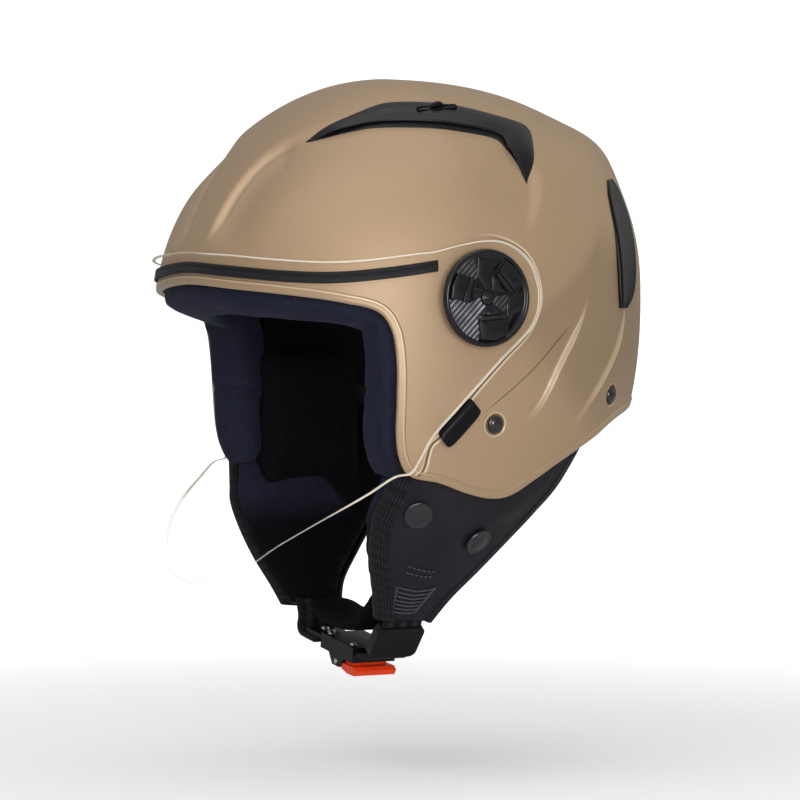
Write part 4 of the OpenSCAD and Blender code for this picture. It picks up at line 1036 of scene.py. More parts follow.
# Pivot caps: a dished gloss disc with three raised blocks, each with a facet that slopes to the hub,
# and two low wedges; corners are to the rear, up and out of the disc
capForm = {
    "x": 124.0, "bevel": 0.45, "corner": 0.5, "base": 2.0,
    "disc": [[24.4, 0], [25.4, 0.25], [26, 0.9], [26, 2.3], [25.7, 3.2], [25.0, 3.9], [24.3, 4.1],
             [23.6, 3.8], [23.2, 3.1], [22.6, 2.9], [12, 2.8]],
    "plates": [
        [[-18.8, 13.0, 4.6], [-11.6, 11.5, 4.9], [-16.2, -1.6, 4.9], [-22.7, -0.4, 4.6], [-22.0, 6.6, 4.6]],
        [[-11.3, 11.3, 4.9], [-8.2, 10.6, 4.1], [-12.4, -2.8, 4.1], [-15.8, -1.7, 4.9]],
        [[-7.6, 9.8, 4.0], [-3.0, 1.9, 3.5], [-11.6, -3.0, 4.0]],
        [[6.4, 13.8, 4.9], [11.2, 19.6, 4.6], [16.5, 15.6, 4.6], [20.9, 9.2, 4.6], [15, 4.1, 4.9]],
        [[4.7, 12.1, 4.1], [6.2, 13.5, 4.9], [14.7, 3.9, 4.9], [13, 2.3, 4.1]],
        [[2.1, 11.4, 3.9], [2.2, 3.6, 3.5], [12.3, 1.8, 4.0], [4.5, 11.5, 4.0]],
        [[-5.9, -12.5, 4.9], [10.5, -11.1, 4.9], [11.3, -19.3, 4.6], [3.5, -22.3, 4.6], [-4.8, -22.0, 4.6]],
        [[-6.2, -10.4, 4.1], [10.2, -8.9, 4.1], [10.5, -10.8, 4.9], [-5.9, -12.2, 4.9]],
        [[-5.4, -9.8, 4.0], [0.4, -3.6, 3.5], [9.2, -8.4, 4.0]],
        [[-6.0, 21.6, 3.4], [9.4, 20.4, 3.4], [3.6, 13.0, 3.5], [0.8, 4.6, 3.6], [-2.0, 4.4, 3.6],
         [-6.8, 11.2, 3.5]],
        [[21.6, 7.2, 3.4], [22.4, -4, 3.4], [13.2, -18.2, 3.4], [11.4, -9, 3.5], [11.8, -3, 3.6],
         [13.9, 1.4, 3.5]]],
    "hub": [[3.6, 2.0], [3.6, 3.35], [2.4, 3.5], [1.2, 3.7], [1.0, 4.2], [0.6, 4.5], [0.2, 4.55]],
}
capPlace = (np.array([capForm["x"], 0, 0]), [0, 1, 0], [0, 0, 1], [1, 0, 0])
capGrids = [turned(capForm["disc"], capPlace, 120), turned(capForm["hub"], capPlace, 40)]
for corners in capForm["plates"]:
    o = roundedOutline(corners, capForm["corner"], 4)
    inward = np.column_stack([inwardOf(o[:, :2]), np.zeros(len(o))])
    b = capForm["bevel"]
    rings = [o * [1, 1, 0] + [0, 0, capForm["base"]], o - [0, 0, b], o + inward * b * 0.35 - [0, 0, b * 0.3],
             o + inward * b]
    capGrids.append(placed(np.stack(rings), capPlace))
pair(gridMesh("pivotCapLeft", *capGrids), "cap", "pivot_cap_left")
print("pivots ready")

# Seal strip on the brow: a low rounded band with a fine groove along it
sealForm = {"line": [[-78, 8], [-66, 6.2], [-53, 5], [-40, 5.3], [-20, 7], [0, 8.3], [20, 7], [40, 5.3],
                     [53, 5], [66, 6.2], [78, 8]],
            "steps": 20, "high": 6.0, "lift": 0.6, "foot": 0.15,
            "section": [[-1, 0.15], [-1, 0.6], [-0.93, 0.9], [-0.8, 1.0], [0.1, 1.0], [0.16, 0.72],
                        [0.28, 0.72], [0.34, 1.0], [0.8, 1.0], [0.93, 0.9], [1, 0.6], [1, 0.15]]}
q = spline(sealForm["line"], sealForm["steps"])
section = np.array(sealForm["section"])
r = shellRadius(heading(q[:, 0], q[:, 1]), np.zeros(len(q)))
rise = np.degrees(np.arcsin(sealForm["high"] / 2 / r))
ways = heading(q[:, :1] + 0 * section[:, 0], q[:, 1:2] + rise[:, None] * section[:, 0])
lift = sealForm["foot"] + sealForm["lift"] * visorGap(q[:, :1]) * section[:, 1]
wear(gridMesh("browSeal", skin(ways, -lift)), "rubber", nodes=["brow_seal"])


# Top vents: a cover that falls to a rolled lip over a dark slit with louvres; it lies in the shell's bevel

# Its line: bearing and elevation of the upper edge, then of the lower one. Across it, cover, floor and fins:
# share of the width, and height. Along it the raised heights follow tall
ventForm = {
    "line": [[34, 47.4, 34.4, 46.9], [40.9, 50.5, 42, 47.4], [50.8, 54, 50.5, 48.2], [61.6, 57.3, 60, 48.7],
             [69.7, 58.3, 69, 48.1], [86.2, 57, 80, 47.1], [100.1, 55.4, 91, 46], [112.2, 51, 101.5, 44.2],
             [121.3, 46.6, 106.4, 42], [122.8, 43.6, 107.8, 38.6], [117.6, 38, 109, 34],
             [110.4, 29.6, 110, 29]],
    "steps": 12, "closed": 1.2, "tip": 0.17, "sunk": 0.3,
    "cover": [[0.0, -0.9], [0.0, 0.1], [0.012, 0.5], [0.05, 0.8], [0.2, 1.3], [0.38, 1.6], [0.52, 1.5],
              [0.66, 1.15], [0.75, 0.75], [0.78, 0.85], [0.805, 0.6], [0.815, 0.1], [0.805, -0.5],
              [0.77, -0.9], [0.70, -1.2], [0.64, -1.4]],
    "floor": [[0.5, 0.5], [0.7, 0.5], [0.90, 0.5], [0.925, 0.1], [0.925, -1.0], [0.5, -1.0]],
    "fin": [[0.72, -0.6], [0.905, -0.6], [0.905, 0.7], [0.72, 1.5]],
    "fins": {"from": 0.16, "to": 0.80, "count": 17, "thick": 0.0014},
    "tall": [[0, 0.15], [0.2, 0.3], [0.42, 0.95], [0.62, 1.0], [0.8, 0.7], [1, 0.3]],
}
q = spline(ventForm["line"], ventForm["steps"])
highLine, lowLine = heading(q[:, 0], q[:, 1]), heading(q[:, 2], q[:, 3])
ventRun = np.linspace(0, 1, len(q))
tall = np.interp(ventRun, *np.array(ventForm["tall"]).T)


def ventPoints(at, w, h, follow):
    # Points of the vent: how far along it, the share across, the height. Towards its tips the vent follows
    # the shell's relief; between them it bridges the bevel, or follows it too where follow is 1
    ways = unit(mix(between(at, ventRun, highLine), between(at, ventRun, lowLine), w[..., None]))
    end = np.minimum(at, 1 - at)
    low = smooth(end * 14)
    relief = dot(shellPoints(ways)[0] - skin(ways), skinNormal(ways))[..., 0]
    relief = relief * np.maximum(follow, 1 - smooth(end / ventForm["tip"]))
    raised = h * np.interp(at, ventRun, tall)
    return skin(ways, -relief - np.where(h > 0, raised, h * low + (low - 1) * ventForm["sunk"]))


def ventGrid(profile, closed, follow):
    # A profile carried along the vent; towards its ends it is closed times as wide, which shuts the slit
    w, h = np.array(profile).T
    at = np.broadcast_to(ventRun[:, None], (len(ventRun), len(w)))
    shut = np.maximum(smooth((at - 0.70) / 0.13), 1 - smooth((at - 0.02) / 0.1))
    return ventPoints(at, w * mix(1, closed, shut), h + 0 * at, follow)


ventGrids = [ventGrid(ventForm["cover"], ventForm["closed"], 0.0), ventGrid(ventForm["floor"], 1.0, 1.0)]
fins = ventForm["fins"]
w, h = np.array(ventForm["fin"]).T
for at in np.linspace(fins["from"], fins["to"], fins["count"]):
    sides = np.array([at - fins["thick"], at + fins["thick"]])[:, None] + 0 * w
    ventGrids.append(ventPoints(sides, w + 0 * sides, h + 0 * sides, 1.0))
pair(gridMesh("topVentLeft", *ventGrids), "vent", "top_vent_left")

# The slot on the vent: a thin rolled frame round a sunk floor
slotForm = {"way": [87, 53.4], "lift": 1.7, "behind": 2, "long": 12.4, "wide": 1.8, "corner": 1.7,
            "frame": [[0, -1.2], [0, -0.05], [0.15, 0.1], [0.35, 0.1], [0.5, -0.1], [0.55, -0.6],
                      [0.7, -0.7]]}
slotWay = heading(*slotForm["way"])
slotOut = skinNormal(slotWay)
slotLine = unit(np.cross(slotOut, np.array([1.0, 0, 0])))
slotAt = skin(slotWay, -slotForm["lift"]) + slotLine * slotForm["behind"]
slotPlace = (slotAt, slotLine, np.cross(slotOut, slotLine), slotOut)
slot = raisedGrid(slotForm["long"], slotForm["wide"], slotForm["corner"], 8, slotForm["frame"], slotPlace)
pair(gridMesh("ventSlotLeft", slot), "trim")

# Knobs: a low foot that rides on the slot's rails and a half-round grip that stands along the slot.
# The grip's slices: how far across, and how large
knobForm = {"long": 3.9, "high": 2.9, "base": 0.3,
            "slices": [[-1.15, 0.86], [-1.05, 0.95], [-0.75, 1], [0.75, 1], [1.05, 0.95], [1.15, 0.86]],
            "foot": [1.9, 1.6, 0.8], "footRings": [[0, 0.14], [0, 0.24], [0.15, 0.36], [0.5, 0.4]]}
turn = np.radians(np.linspace(0, 180, 21))
x, z = np.cos(turn) * knobForm["long"], np.sin(turn) * knobForm["high"] + knobForm["base"]
grip = placed(np.stack([np.stack([x * size, across + 0 * x, z * size], axis=1)
                        for across, size in knobForm["slices"]]), slotPlace)
foot = raisedGrid(*knobForm["foot"], 6, knobForm["footRings"], slotPlace)
pair(gridMesh("ventKnobLeft", grip, foot), "trim", "vent_knob_left", "left_knob")

# Rear vents: a narrow bowed cover with a bevel all round. Its line: elevation, then both edges' bearings
rearForm = {"line": [[26.4, 141.6, 145.3], [23, 138.6, 147.6], [17, 136.9, 148.1], [9, 136.5, 147],
                     [2, 136.6, 144.6], [-2.2, 137, 139.8]],
            "steps": 12, "flat": 0.35,
            "across": [[0, -1.0], [0, 0.3], [0.03, 0.9], [0.08, 1.15], [0.1, 1.0], [0.5, 1.1], [0.9, 1.0],
                       [0.92, 1.15], [0.97, 0.9], [1, 0.3], [1, -1.0]]}
q = spline(rearForm["line"], rearForm["steps"])
w, h = np.array(rearForm["across"]).T
ends = mix(rearForm["flat"], 1, np.sqrt(np.maximum(0, 1 - np.abs(np.linspace(-1, 1, len(q))) ** 8))[:, None])
ways = heading(mix(q[:, 1:2], q[:, 2:3], w), q[:, :1] + 0 * w)
rearVent = gridMesh("rearVentLeft", skin(ways, -np.where(h > 0, h * ends, h)))
pair(rearVent, "trim", "rear_vent_left")
print("vents ready")

# Strap rivets: a domed head with a raised ring, the shank and the inner flange
rivetProfile = [[4.8, -8.9], [4.8, -7.7], [2.4, -7.7], [2.4, -0.6], [4.6, -0.6], [4.8, -0.2], [4.75, 0.3],
                [4.3, 0.85], [3.7, 1.1], [3.4, 0.95], [3.1, 1.1], [2.0, 1.55], [1.0, 1.75], [0.3, 1.8]]
rivetWays = [heading(az, el) for az, el in shellRelief["rivets"]]
rivetGrids = [turned(rivetProfile, upright(skin(d), skinNormal(d)), 48) for d in rivetWays]
rivets = gridMesh("strapRivetsLeft", *rivetGrids)
wear(mirrored(rivets, "strapRivetsRight"), "chrome")
wear(rivets, "chrome", nodes=["strap_rivets"])


# Lining: how far inside the shell's surface each layer starts

layers = {"gap": 0.6, "foam": 22.0, "comfort": 5.0, "room": 1.4}
comfortIn = shellForm["wall"] + layers["gap"] + layers["foam"] + layers["gap"]
padIn = comfortIn + layers["comfort"] + layers["room"]


def shares(cols, rows, across=(0, 1), down=(0, 1)):
    # Two grids: the share across and the share down of each of their places
    return np.meshgrid(np.linspace(*across, cols), np.linspace(*down, rows))


# Comfort liner: a sheet that stops short of the edge, further from it at the ears
comfortForm = {"cols": 220, "rows": 60, "reach": [0.92, 0.8], "ears": [0.235, 0.39], "fade": 0.03, "off": 0.2}


def comfortSheet(rows, inset):
    u = np.arange(comfortForm["cols"]) / comfortForm["cols"]
    v = np.abs(u - np.round(u))
    start, end = comfortForm["ears"]
    ears = smooth((v - start) / comfortForm["fade"]) * (1 - smooth((v - end) / comfortForm["fade"]))
    reach = mix(*comfortForm["reach"], ears)
    return np.stack([skin(arcTo(rim(u), reach * r), inset) for r in rows])


rows = np.linspace(0.02, 1, comfortForm["rows"])
comfortFaces = [comfortSheet(rows, comfortIn + comfortForm["off"]),
                comfortSheet(rows[::-1], comfortIn + layers["comfort"])]
comfort = gridMesh("comfortLiner", np.concatenate(comfortFaces))
wear(comfort, "liner", nodes=["comfort_liner"])

# Brow pad: a low cushion over the brow with a seam along its middle
browForm = {"az": [-52, 52], "el": [14, 36], "cols": 60, "rows": 20, "back": 0.6, "face": 0.8, "thick": 5.0,
            "seam": {"az": [-50, 50], "el": 25.0, "in": 5.8, "points": 60}}
s, t = shares(browForm["cols"], browForm["rows"])
ways = heading(mix(*browForm["az"], s), mix(*browForm["el"], t))
full = browForm["thick"] * crowned(2 * s - 1) * crowned(2 * t - 1)
browFace = skin(ways, padIn + browForm["face"] + full)
browPad = slab("browPad", browFace, skin(ways, padIn + browForm["back"] + 0 * s))
swell(browPad, voxel=4.5, cap=1.6)
q = browForm["seam"]
seam = heading(np.linspace(*q["az"], q["points"]), np.full(q["points"], q["el"]))
sew(browPad, [skin(seam, padIn + q["in"])], depth=1.4, width=2.2)
wear(browPad, "lining", nodes=["brow_pad"])

# Crown pad: a round cushion with rings of stitching
crownForm = {"rings": 26, "cols": 90, "spread": 40, "back": 0.6, "face": 0.8, "thick": 5.2,
             "seams": {"at": [0.33, 0.66], "in": 6, "points": 80}}
s = np.linspace(0.03, 1, crownForm["rings"])[:, None]
turn = 360 * np.arange(crownForm["cols"]) / crownForm["cols"]
bearing = np.broadcast_to(turn, (len(s), len(turn)))
ways = heading(bearing, 90 - crownForm["spread"] * s + 0 * turn)
thick = crownForm["thick"] * crowned(s) + 0 * turn
crownBack = skin(ways, padIn + crownForm["back"] + 0 * thick)
crownFace = skin(ways[::-1], padIn + crownForm["face"] + thick[::-1])
crownPad = gridMesh("crownPad", np.concatenate([crownBack, crownFace]))
swell(crownPad, voxel=4.5, cap=1.6)
q = crownForm["seams"]
turn = np.linspace(0, 360, q["points"])
seams = [skin(heading(turn, 90 - crownForm["spread"] * k + 0 * turn), padIn + q["in"]) for k in q["at"]]
sew(crownPad, seams, depth=1.5, width=2.0)
wear(crownPad, "black", nodes=["crown_pad"])

# Cheek pads: full at the front, where they carry on from the face roll
cheekForm = {"az": [67.5, 112], "el": [-54, -20], "cols": 34, "rows": 30, "thick": 19.0, "lowSeat": 16}
s, t = shares(cheekForm["cols"], cheekForm["rows"])
elevation = mix(*cheekForm["el"], t)
ways = heading(mix(*cheekForm["az"], s), elevation)
behind = mix(padIn, shellForm["wall"] + cheekForm["lowSeat"], smooth((-elevation - 30) / 12))
behind = behind + 8 * smooth((-elevation - 42) / 11)
full = np.maximum(crowned(2 * s - 1), 0.8 * (1 - smooth((s - 0.2) / 0.3)) * smooth((s + 0.08) / 0.16))
cheekFace = skin(ways, padIn + cheekForm["thick"] * full * crowned(2 * t - 1))
cheek = slab("cheekPadLeft", cheekFace, skin(ways, behind + 1.0))
swell(cheek, voxel=4.5, cap=1.8)
pair(cheek, "black", "cheek_pad_left")


def edgeRoll(name, form):
    # A padded roll along the shell's edge: a closed section of how far off the edge and how deep inside,
    # drawn in towards its middle at both ends
    q = spline(form["section"], 4, closed=True)
    k = np.linspace(0, 1, form["stations"])
    full = crowned(1.96 * k - 0.98)[:, None, None]
    u = mix(*form["u"], k)
    middle = q.mean(axis=0)
    q = middle + (q[None] - middle) * mix(1, np.minimum(1, full * 1.12), form["drawn"])
    d = rim(u)
    n, off = skinNormal(d), offEdge(u)
    return gridMesh(name, skin(d)[:, None] - n[:, None] * q[..., 1:] + off[:, None] * q[..., :1])


# Face roll, with seams where its brow, side and cheek lengths are sewn together
faceForm = {
    "u": [-0.256, 0.256], "stations": 240, "drawn": 0.25,
    "section": [[-12, 7.4], [-5, 6.2], [0.6, 5.0], [4.4, 4.0], [7.6, 4.8], [9.3, 8], [10.4, 13], [11.6, 19],
                [12.8, 25], [13.6, 30], [12.8, 33.8], [8, 35.5], [0, 34.6], [-8, 33.4], [-13, 31], [-15, 20]],
    "seams": {"at": [-0.164, -0.215, 0.164, 0.215], "stretch": [2, 12], "points": 24},
    "folds": [[1, 0.2, 0.4, 37, 0.4], [0.2, 0.6, 1, 29, 1.9]],
}
faceRoll = edgeRoll("faceRoll", faceForm)
swell(faceRoll, voxel=3.6, cap=1.2)
q = faceForm["seams"]
front = resample(faceForm["section"][slice(*q["stretch"])], q["points"])
for k in q["at"]:
    u = np.full(len(front), k)
    seam = skin(rim(u)) - skinNormal(rim(u)) * front[:, 1:] + offEdge(u) * front[:, :1]
    sew(faceRoll, [seam], depth=1.5, width=1.8)
crease(faceRoll, faceForm["folds"], height=0.25)
wear(faceRoll, "lining", nodes=["face_roll"])

# Neck roll
neckForm = {
    "u": [0.425, 0.575], "stations": 90, "drawn": 1.0,
    "section": [[-12, 7.2], [-6, 6.4], [-2.4, 7.2], [-1.2, 11], [-1.6, 17], [-3.4, 23], [-6.6, 28], [-10, 31],
                [-13, 32], [-15, 20]],
}
neckRoll = edgeRoll("neckRoll", neckForm)
swell(neckRoll, voxel=4.0, cap=1.2)
wear(neckRoll, "leather", nodes=["neck_roll"])
print("lining ready")


# Ear flaps: a patch between a line under the shell's edge, two side lines and a short bottom line.
# A place on it is the share w from front to rear and the share v from top to bottom

flapForm = {
    "u": [0.253, 0.385], "inset": 5.4, "cols": 46, "rows": 60,
    "front": [[92, -42, -108], [87, -44, -118], [79, -42, -133], [71, -37, -149], [63, -31, -163],
              [56, -27, -174]],
    "rear": [[90, 65, -101], [85, 51, -118], [79, 38, -133], [72, 24, -149], [64, 11, -164], [54, 4, -177]],
    "midOut": [0.88, 0, -0.47], "tuck": [0.965, 0.985], "tuckThick": 2.4, "faceIn": 0.15, "backIn": 3.0,
    "snaps": [[0.17, 0.17], [0.64, 0.37]],
    "folds": [[0.3, 1, 0.2, 31, 0.4], [0.1, 0.5, 1, 43, 1.9], [0.6, -0.4, 0.7, 26, 4.0]],
    "pucker": {"at": 9.5, "wide": 2.5, "depth": 0.35},
}


def flapWay(w):
    return rim(mix(*flapForm["u"], w))


def flapRim(w):
    return skin(flapWay(w), flapForm["inset"])


frontLine = spline(np.vstack([flapRim(np.array([0.0])), flapForm["front"]]), 40)
rearLine = spline(np.vstack([flapRim(np.array([1.0])), flapForm["rear"]]), 40)


def downLine(line, v):
    return between(np.clip(v, 0, 1) * (len(line) - 1), np.arange(len(line)), line)


def flap(w, v):
    # The top and bottom lines blended down the patch, plus what each side line bows away from straight
    w, v = np.broadcast_arrays(np.asarray(w, float), np.asarray(v, float))
    a, b = w[..., None], v[..., None]
    straight = mix(flapRim(w), mix(frontLine[-1], rearLine[-1], a), b)
    frontBow = downLine(frontLine, v) - mix(frontLine[0], frontLine[-1], b)
    rearBow = downLine(rearLine, v) - mix(rearLine[0], rearLine[-1], b)
    return straight + (1 - a) * frontBow + a * rearBow


def flapOut(w, v):
    # The way out of the patch: the shell's at the top, turned to its own further down
    w, v = np.broadcast_arrays(np.asarray(w, float), np.asarray(v, float))
    low = unit(np.array(flapForm["midOut"]))
    return unit(mix(skinNormal(flapWay(w)), low, np.minimum(1, 2 * v)[..., None]))


w, v = shares(flapForm["cols"], flapForm["rows"])
face, out = flap(w, v), flapOut(w, v)
tuckWay = np.repeat(flapWay(w[:1]), 2, axis=0)
tuck = skin(arcTo(tuckWay, np.array(flapForm["tuck"])[:, None]), flapForm["inset"])
tuckBack = tuck - skinNormal(tuckWay) * flapForm["tuckThick"]
leather = slab("earFlapLeft", np.concatenate([tuck, face - out * flapForm["faceIn"]]),
               np.concatenate([tuckBack, face - out * flapForm["backIn"]]))
subdivided(leather)
crease(leather, flapForm["folds"], height=0.45)
# Puckers round the snap buttons
p, q = coordinates(leather), flapForm["pucker"]
rings = [bell((np.linalg.norm(p - flap(*snap), axis=1) - q["at"]) / q["wide"]) for snap in flapForm["snaps"]]
sink(leather, np.sum(rings, axis=0) * q["depth"])
pair(leather, "leather", "ear_flap_left")

# The flap's soft inner side: a cushion over the straps, with a seam along its edges and quilting below
innerForm = {"cols": 42, "rows": 54, "w": [-0.03, 0.97], "v": [0.0, 0.985], "least": 4.0, "middle": 9.5,
             "top": 13.0, "seat": [5.4, 3.2], "seamIn": 11, "quilt": [0.6, 0.76, 0.9], "quiltIn": 12}
w, v = shares(innerForm["cols"], innerForm["rows"], innerForm["w"], innerForm["v"])
face, out = flap(w, v), flapOut(w, v)
full = innerForm["middle"] * crowned(2 * v - 1) + innerForm["top"] * (1 - v) ** 2
full = innerForm["least"] + full * crowned(2 * w - 1)
seat = mix(*innerForm["seat"], smooth((w + 0.03) / 0.12))
cushion = slab("flapLiningLeft", face - out * (seat + full)[..., None], face - out * seat[..., None])
swell(cushion, voxel=4.0, cap=1.0)
k = np.linspace(0.02, 1, 50)
v = 0.02 + 0.92 * k
contour = flap(0.05 + 0.24 * np.sqrt(np.sin(np.pi * k * 0.5)), v) - flapOut(0.2, v) * innerForm["seamIn"]
sew(cushion, [contour], depth=1.8, width=1.6)
w = np.linspace(0.32, 0.95, 24)
quilt = [flap(w, v) - flapOut(w, v) * innerForm["quiltIn"] for v in innerForm["quilt"]]
sew(cushion, quilt, depth=1.5, width=1.6)
pair(cushion, "flapLining")

# Webbing band folded over the front edge: its section runs back over the flap and out of it
bandForm = {"v": [0.02, 1], "stations": 90, "size": (3.6, 9.0),
            "section": [[9, 0.2], [9, 0.9], [8.7, 1.3], [8, 1.5], [5, 1.6], [1.5, 1.6], [-0.8, 1.4],
                        [-2.0, 0.6], [-2.5, -0.8], [-2.4, -2.6], [-1.4, -3.9], [0.4, -4.6], [3, -4.8],
                        [3, -4.2], [0.8, -3.9], [-0.6, -3.0], [-1.2, -1.6], [-1.0, -0.4], [0, 0.15]]}
v = np.linspace(*bandForm["v"], bandForm["stations"])
p, out = flap(0, v), flapOut(0, v)
way = unit(flap(0.08, v) - p)
section = np.array(bandForm["section"])
band = p[:, None] + way[:, None] * section[:, :1] + out[:, None] * section[:, 1:]
pair(gridMesh("flapBandLeft", band, sizes=[bandForm["size"]]), "webbing", "flap_band_left")

# Piping on the rear edge
pipingForm = {"v": [0.04, 1], "stations": 90, "radius": 2.6, "behind": 1.6, "in": 1.4, "sides": 16}
v = np.linspace(*pipingForm["v"], pipingForm["stations"])
out = flapOut(1, v)
way = unit(flap(1, v) - flap(0.96, v))
p = flap(1, v) + way * pipingForm["behind"] - out * pipingForm["in"]
c, s = [x[:, None] for x in around(pipingForm["sides"])]
piping = gridMesh("flapPipingLeft", p[:, None] + pipingForm["radius"] * (way[:, None] * c + out[:, None] * s))
pair(piping, "leather", "flap_piping_left")

# Stitches on the flap: short threads from and to shares of the patch
stitchForm = {"radius": 0.42, "rise": 0.25, "sides": 8,
              "bars": {"w": [0.20, 0.62], "v": [0.70, 0.90], "count": 7, "tie": 0.03},
              "box": {"w": [0.26, 0.48], "v": [0.545, 0.585], "count": 6, "long": 0.7}}


def thread(a, b):
    # A short thread between two places on the flap, its ends drawn in
    k = np.array([0, 0.06, 0.2, 0.5, 0.8, 0.94, 1])
    w, v = mix(a[0], b[0], k), mix(a[1], b[1], k)
    p, out = flap(w, v), flapOut(w, v)
    side = unit(np.cross(unit(p[-1:] - p[:1]), out))
    c, s = [x[:, None] for x in around(stitchForm["sides"])]
    r = stitchForm["radius"] * np.array([0.1, 0.7, 1, 1, 1, 0.7, 0.1])[:, None, None]
    return p[:, None] + out[:, None] * stitchForm["rise"] + r * (side[:, None] * c + out[:, None] * s)


q = stitchForm["bars"]
(w0, w1), tie = q["w"], q["tie"]
heights = np.linspace(*q["v"], q["count"])
threads = [thread((w0, v), (w1, v)) for v in heights]
for v, below in zip(heights[:-1], heights[1:]):
    threads += [thread((w0, v), (w0 + tie, below)), thread((w1, v), (w1 - tie, below))]
q = stitchForm["box"]
w0, w1 = q["w"]
long = q["long"] * (w1 - w0) / q["count"]
for v in q["v"]:
    threads += [thread((w, v), (w + long, v)) for w in np.linspace(w0, w1, q["count"] + 1)[:-1]]
pair(gridMesh("flapStitchesLeft", *threads), "thread")

# Snap buttons: a rolled rim round a low dome
buttonProfile = [[7.4, 0.4], [8.0, 1.0], [8.05, 1.7], [7.7, 2.35], [7.1, 2.65], [6.5, 2.55], [6.1, 2.3],
                 [5.4, 2.45], [4.0, 2.85], [2.5, 3.1], [1.0, 3.2], [0.3, 3.22]]
buttonGrids = []
for w, v in flapForm["snaps"]:
    n = unit(np.cross(flap(w + 0.02, v) - flap(w - 0.02, v), flap(w, v + 0.02) - flap(w, v - 0.02)))
    n = n * (-1 if n[0] < 0 else 1)
    buttonGrids.append(turned(buttonProfile, upright(flap(w, v), n), 64))
pair(gridMesh("snapButtonsLeft", *buttonGrids), "button", "snap_buttons_left")
print("flaps ready")


# Straps: flat tapes from the anchors down inside the flaps to the buckle

strapForm = {
    "thick": 2.0, "frontWide": 24.0, "rearWide": 16.0, "steps": 24, "deep": 10.0, "rearDeeper": 2.8,
    "anchorIn": 9.0, "anchorFall": 9.0, "frontV": [0.1, 1, 0.15], "frontW": [0.45, 0.5],
    "rearV": [0.1, 0.78], "rearW": [0.84, 0.79, 0.72, 0.65, 0.6, 0.56], "footOut": [1.0, 0, -1],
    "buckle": {"at": [-4.0, -10.0, -194.3], "tilt": 9},
    "slider": {"at": [44.0, -10, -187], "tilt": 50, "half": 13},
}
buckleTilt = math.radians(strapForm["buckle"]["tilt"])
down = np.array([0, 0, -1.0])


def bucklePoint(x, y, z):
    c, s = math.cos(buckleTilt), math.sin(buckleTilt)
    return placed(np.array([x, y, z]), (strapForm["buckle"]["at"], [c, 0, -s], [0, 1, 0], [s, 0, c]))


def anchorFoot(k):
    # Where a tape starts behind its rivet, and the way out there
    d = heading(*shellRelief["rivets"][k])
    n = skinNormal(d)
    fall = unit(down - n * (n @ down))
    return skin(d) - n * strapForm["anchorIn"] + fall * strapForm["anchorFall"], n


def tape(points, outs, width):
    # A flat tape with rounded edges along a smooth run of points, and its size on the UV map in centimetres
    path = spline(points, strapForm["steps"])
    thick = strapForm["thick"]
    section = roundedSection(width, thick, thick / 2 - 0.05, 3)
    size = ((width + thick) * 2 / 10, lengths(path)[-1] / 10)
    return tubeGrid(path, section, unit(spline(outs, strapForm["steps"]))), size


def strap(name, foot):
    # The front tape runs on to its foot; the rear one ends on it, inside the flap
    tapes = []
    v = np.arange(*strapForm["frontV"])
    w = mix(*strapForm["frontW"], v)
    start, n = anchorFoot(0)
    run = np.vstack([start, flap(w, v) - flapOut(w, v) * strapForm["deep"], foot])
    outs = np.vstack([n, flapOut(w, v), np.tile(strapForm["footOut"], (len(foot), 1))])
    tapes.append(tape(run, outs, strapForm["frontWide"]))
    w = np.array(strapForm["rearW"])
    v = np.linspace(*strapForm["rearV"], len(w))
    start, n = anchorFoot(1)
    deep = strapForm["deep"] + strapForm["rearDeeper"]
    run = np.vstack([start, flap(w, v) - flapOut(w, v) * deep])
    tapes.append(tape(run, np.vstack([n, flapOut(w, v)]), strapForm["rearWide"]))
    grids, sizes = zip(*tapes)
    return gridMesh(name, *grids, sizes=sizes)


# The left foot runs through the slider to the buckle's frame, the right one to the tongue's end
slider = strapForm["slider"]
lean = math.radians(slider["tilt"])
lean = np.array([math.cos(lean), 0, math.sin(lean)]) * slider["half"]
footLeft = np.vstack([slider["at"] + lean, slider["at"], slider["at"] - lean, bucklePoint(24.4, 0, 1)])
wear(strap("chinStrapLeft", footLeft), "webbing", nodes=["chin_strap_left"])
end = bucklePoint(-32, 0, -2.9) * [-1, 1, 1]
drop = math.tan(buckleTilt)
footRight = np.array([[48.5, -10, -179], [49.5, -10, -186], [end[0] + 11, -10, end[2] + 11 * drop + 0.6],
                      [end[0] + 5, -10, end[2] + 5 * drop], [end[0] - 6, -10, end[2] - 6 * drop]])
strapSource = strap("strapRightSource", footRight)
strapRight = mirrored(strapSource, "chinStrapRight")
bpy.data.objects.remove(strapSource)
wear(strapRight, "webbing", None, ["chin_strap_right"])
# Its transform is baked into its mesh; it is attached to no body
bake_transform(strapRight)

# Chin pad: a soft sleeve over the buckle, curved as a cradle
chinForm = {"line": [[50, -157], [44, -165.5], [36, -173.5], [24, -180], [8, -182.3], [-8, -181.1],
                     [-24, -177], [-34, -171]],
            "y": -10.0, "stations": 70, "cols": 22, "half": 16.4, "above": 8.5, "below": 2.2}
route = resample(spline(chinForm["line"], 12), chinForm["stations"])
k = np.linspace(-1, 1, chinForm["stations"])[:, None]
s = np.linspace(-1, 1, chinForm["cols"])
rearward = np.array([0, 1.0, 0])
centre = np.stack([route[:, 0], np.full(len(route), chinForm["y"]), route[:, 1]], axis=1)
up = np.cross(unit(np.gradient(centre, axis=0)), rearward)
up = up * np.where(up[:, 2:] < 0, -1, 1)
wide = chinForm["half"] * (0.72 + 0.28 * crowned(k))
full = up[:, None] * (crowned(k) * crowned(s))[..., None]
middle = centre[:, None] + rearward * (s * wide)[..., None]
chin = slab("chinPad", middle + full * chinForm["above"], middle - full * chinForm["below"])
swell(chin, voxel=4.0, cap=0.8)
wear(chin, "black", nodes=["chin_pad"])
print("straps ready")


# CAD nodes that stay, each with its finish and the width of its soft edges

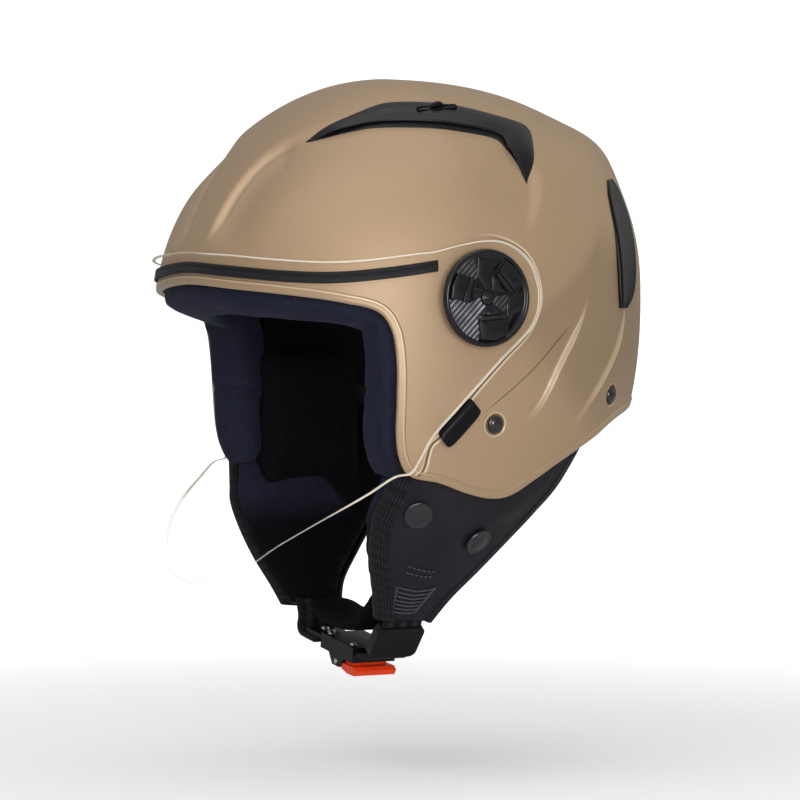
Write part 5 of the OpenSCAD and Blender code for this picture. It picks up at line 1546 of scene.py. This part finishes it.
for node, finish, bevel in (
        ("impact_liner", "foam", 0), ("visor_hub_left", "trim", 0.2), ("visor_hub_right", "trim", 0.2),
        ("pivot_plate_left", "trim", 0.2), ("pivot_plate_right", "trim", 0.2),
        ("pivot_nut_left", "steel", 0.2), ("pivot_nut_right", "steel", 0.2),
        ("pivot_screw_left", "steel", 0.2), ("pivot_screw_right", "steel", 0.2),
        ("pivot_washer_left", "steel", 0), ("pivot_washer_right", "steel", 0),
        ("strap_anchors", "steel", 0.3), ("strap_slider", "buckle", 1.1),
        ("buckle_frame", "buckle", 0.7), ("frame_rivets", "steel", 0.2),
        ("buckle_tongue", "buckle", 0.25), ("tongue_rivets", "steel", 0.2), ("buckle_lever", "lever", 0.5),
        ("lever_pin", "steel", 0.2), ("lever_spring", "steel", 0)):
    dress(node, finish, bevel)
print("buckle ready")


# Floor, backdrop and lights

stageForm = {"floorZ": -262.0, "half": 9000.0, "near": 0.35, "far": 1.05}


def floorFinish():
    # Pale ground that shines towards the camera, more the further away, so that it meets the backdrop
    m = Finish("paleFloor")
    p = m.place()
    x, y = m.part(p, "X"), m.part(p, "Y")
    away = m.step((x * x + y * y).fn("SQRT"), 0.25, 1.3)
    colour = m.blend(m.noise(p, 3.0, 2.0), (0.90, 0.90, 0.90), (0.92, 0.92, 0.92))
    strength = m.ray("Is Camera Ray") * (stageForm["near"] + away * (stageForm["far"] - stageForm["near"]))
    shade = m.add("ShaderNodeBsdfDiffuse", None, {"Color": colour})
    glow = m.add("ShaderNodeEmission", None, {"Color": (1.0, 1.0, 1.0), "Strength": strength})
    return m.end(m.add("ShaderNodeAddShader", None, {0: shade, 1: glow}))


n, z = stageForm["half"], stageForm["floorZ"]
floor = meshFrom("floor", [(np.array([[-n, -n, z], [n, -n, z], [n, n, z], [-n, n, z]]), [[0, 1, 2, 3]])])
floor.data.materials.append(floorFinish())

world = bpy.data.worlds.new("studio")
scene.world = world
room = Finish(None, world)
seen = (room.ray("Is Camera Ray") + room.ray("Is Transmission Ray")).fn("MINIMUM", 1.0)
strength = 0.19 + room.ray("Is Glossy Ray") * 0.20 + seen * 1.05
sky = room.add("ShaderNodeBackground", None, {"Color": (1.0, 1.0, 1.0), "Strength": strength})
room.end(sky, "ShaderNodeOutputWorld")

# Each lamp: bearing, elevation, distance, width, height and power
for name, az, el, distance, width, height, power in (
        ("key", 22, 40, 2.2, 2.6, 2.2, 9), ("side", 70, -4, 2.4, 1.8, 1.8, 66),
        ("crown", 60, 84, 2.2, 2.4, 2.4, 15), ("rear", 175, 30, 2.0, 1.6, 1.6, 2)):
    lamp = bpy.data.lights.new(name, "AREA")
    lamp.shape, lamp.size, lamp.size_y, lamp.energy = "RECTANGLE", width, height, power
    stand(name, lamp, (0, 0.02, -0.05), az, el, distance)
print("stage ready")
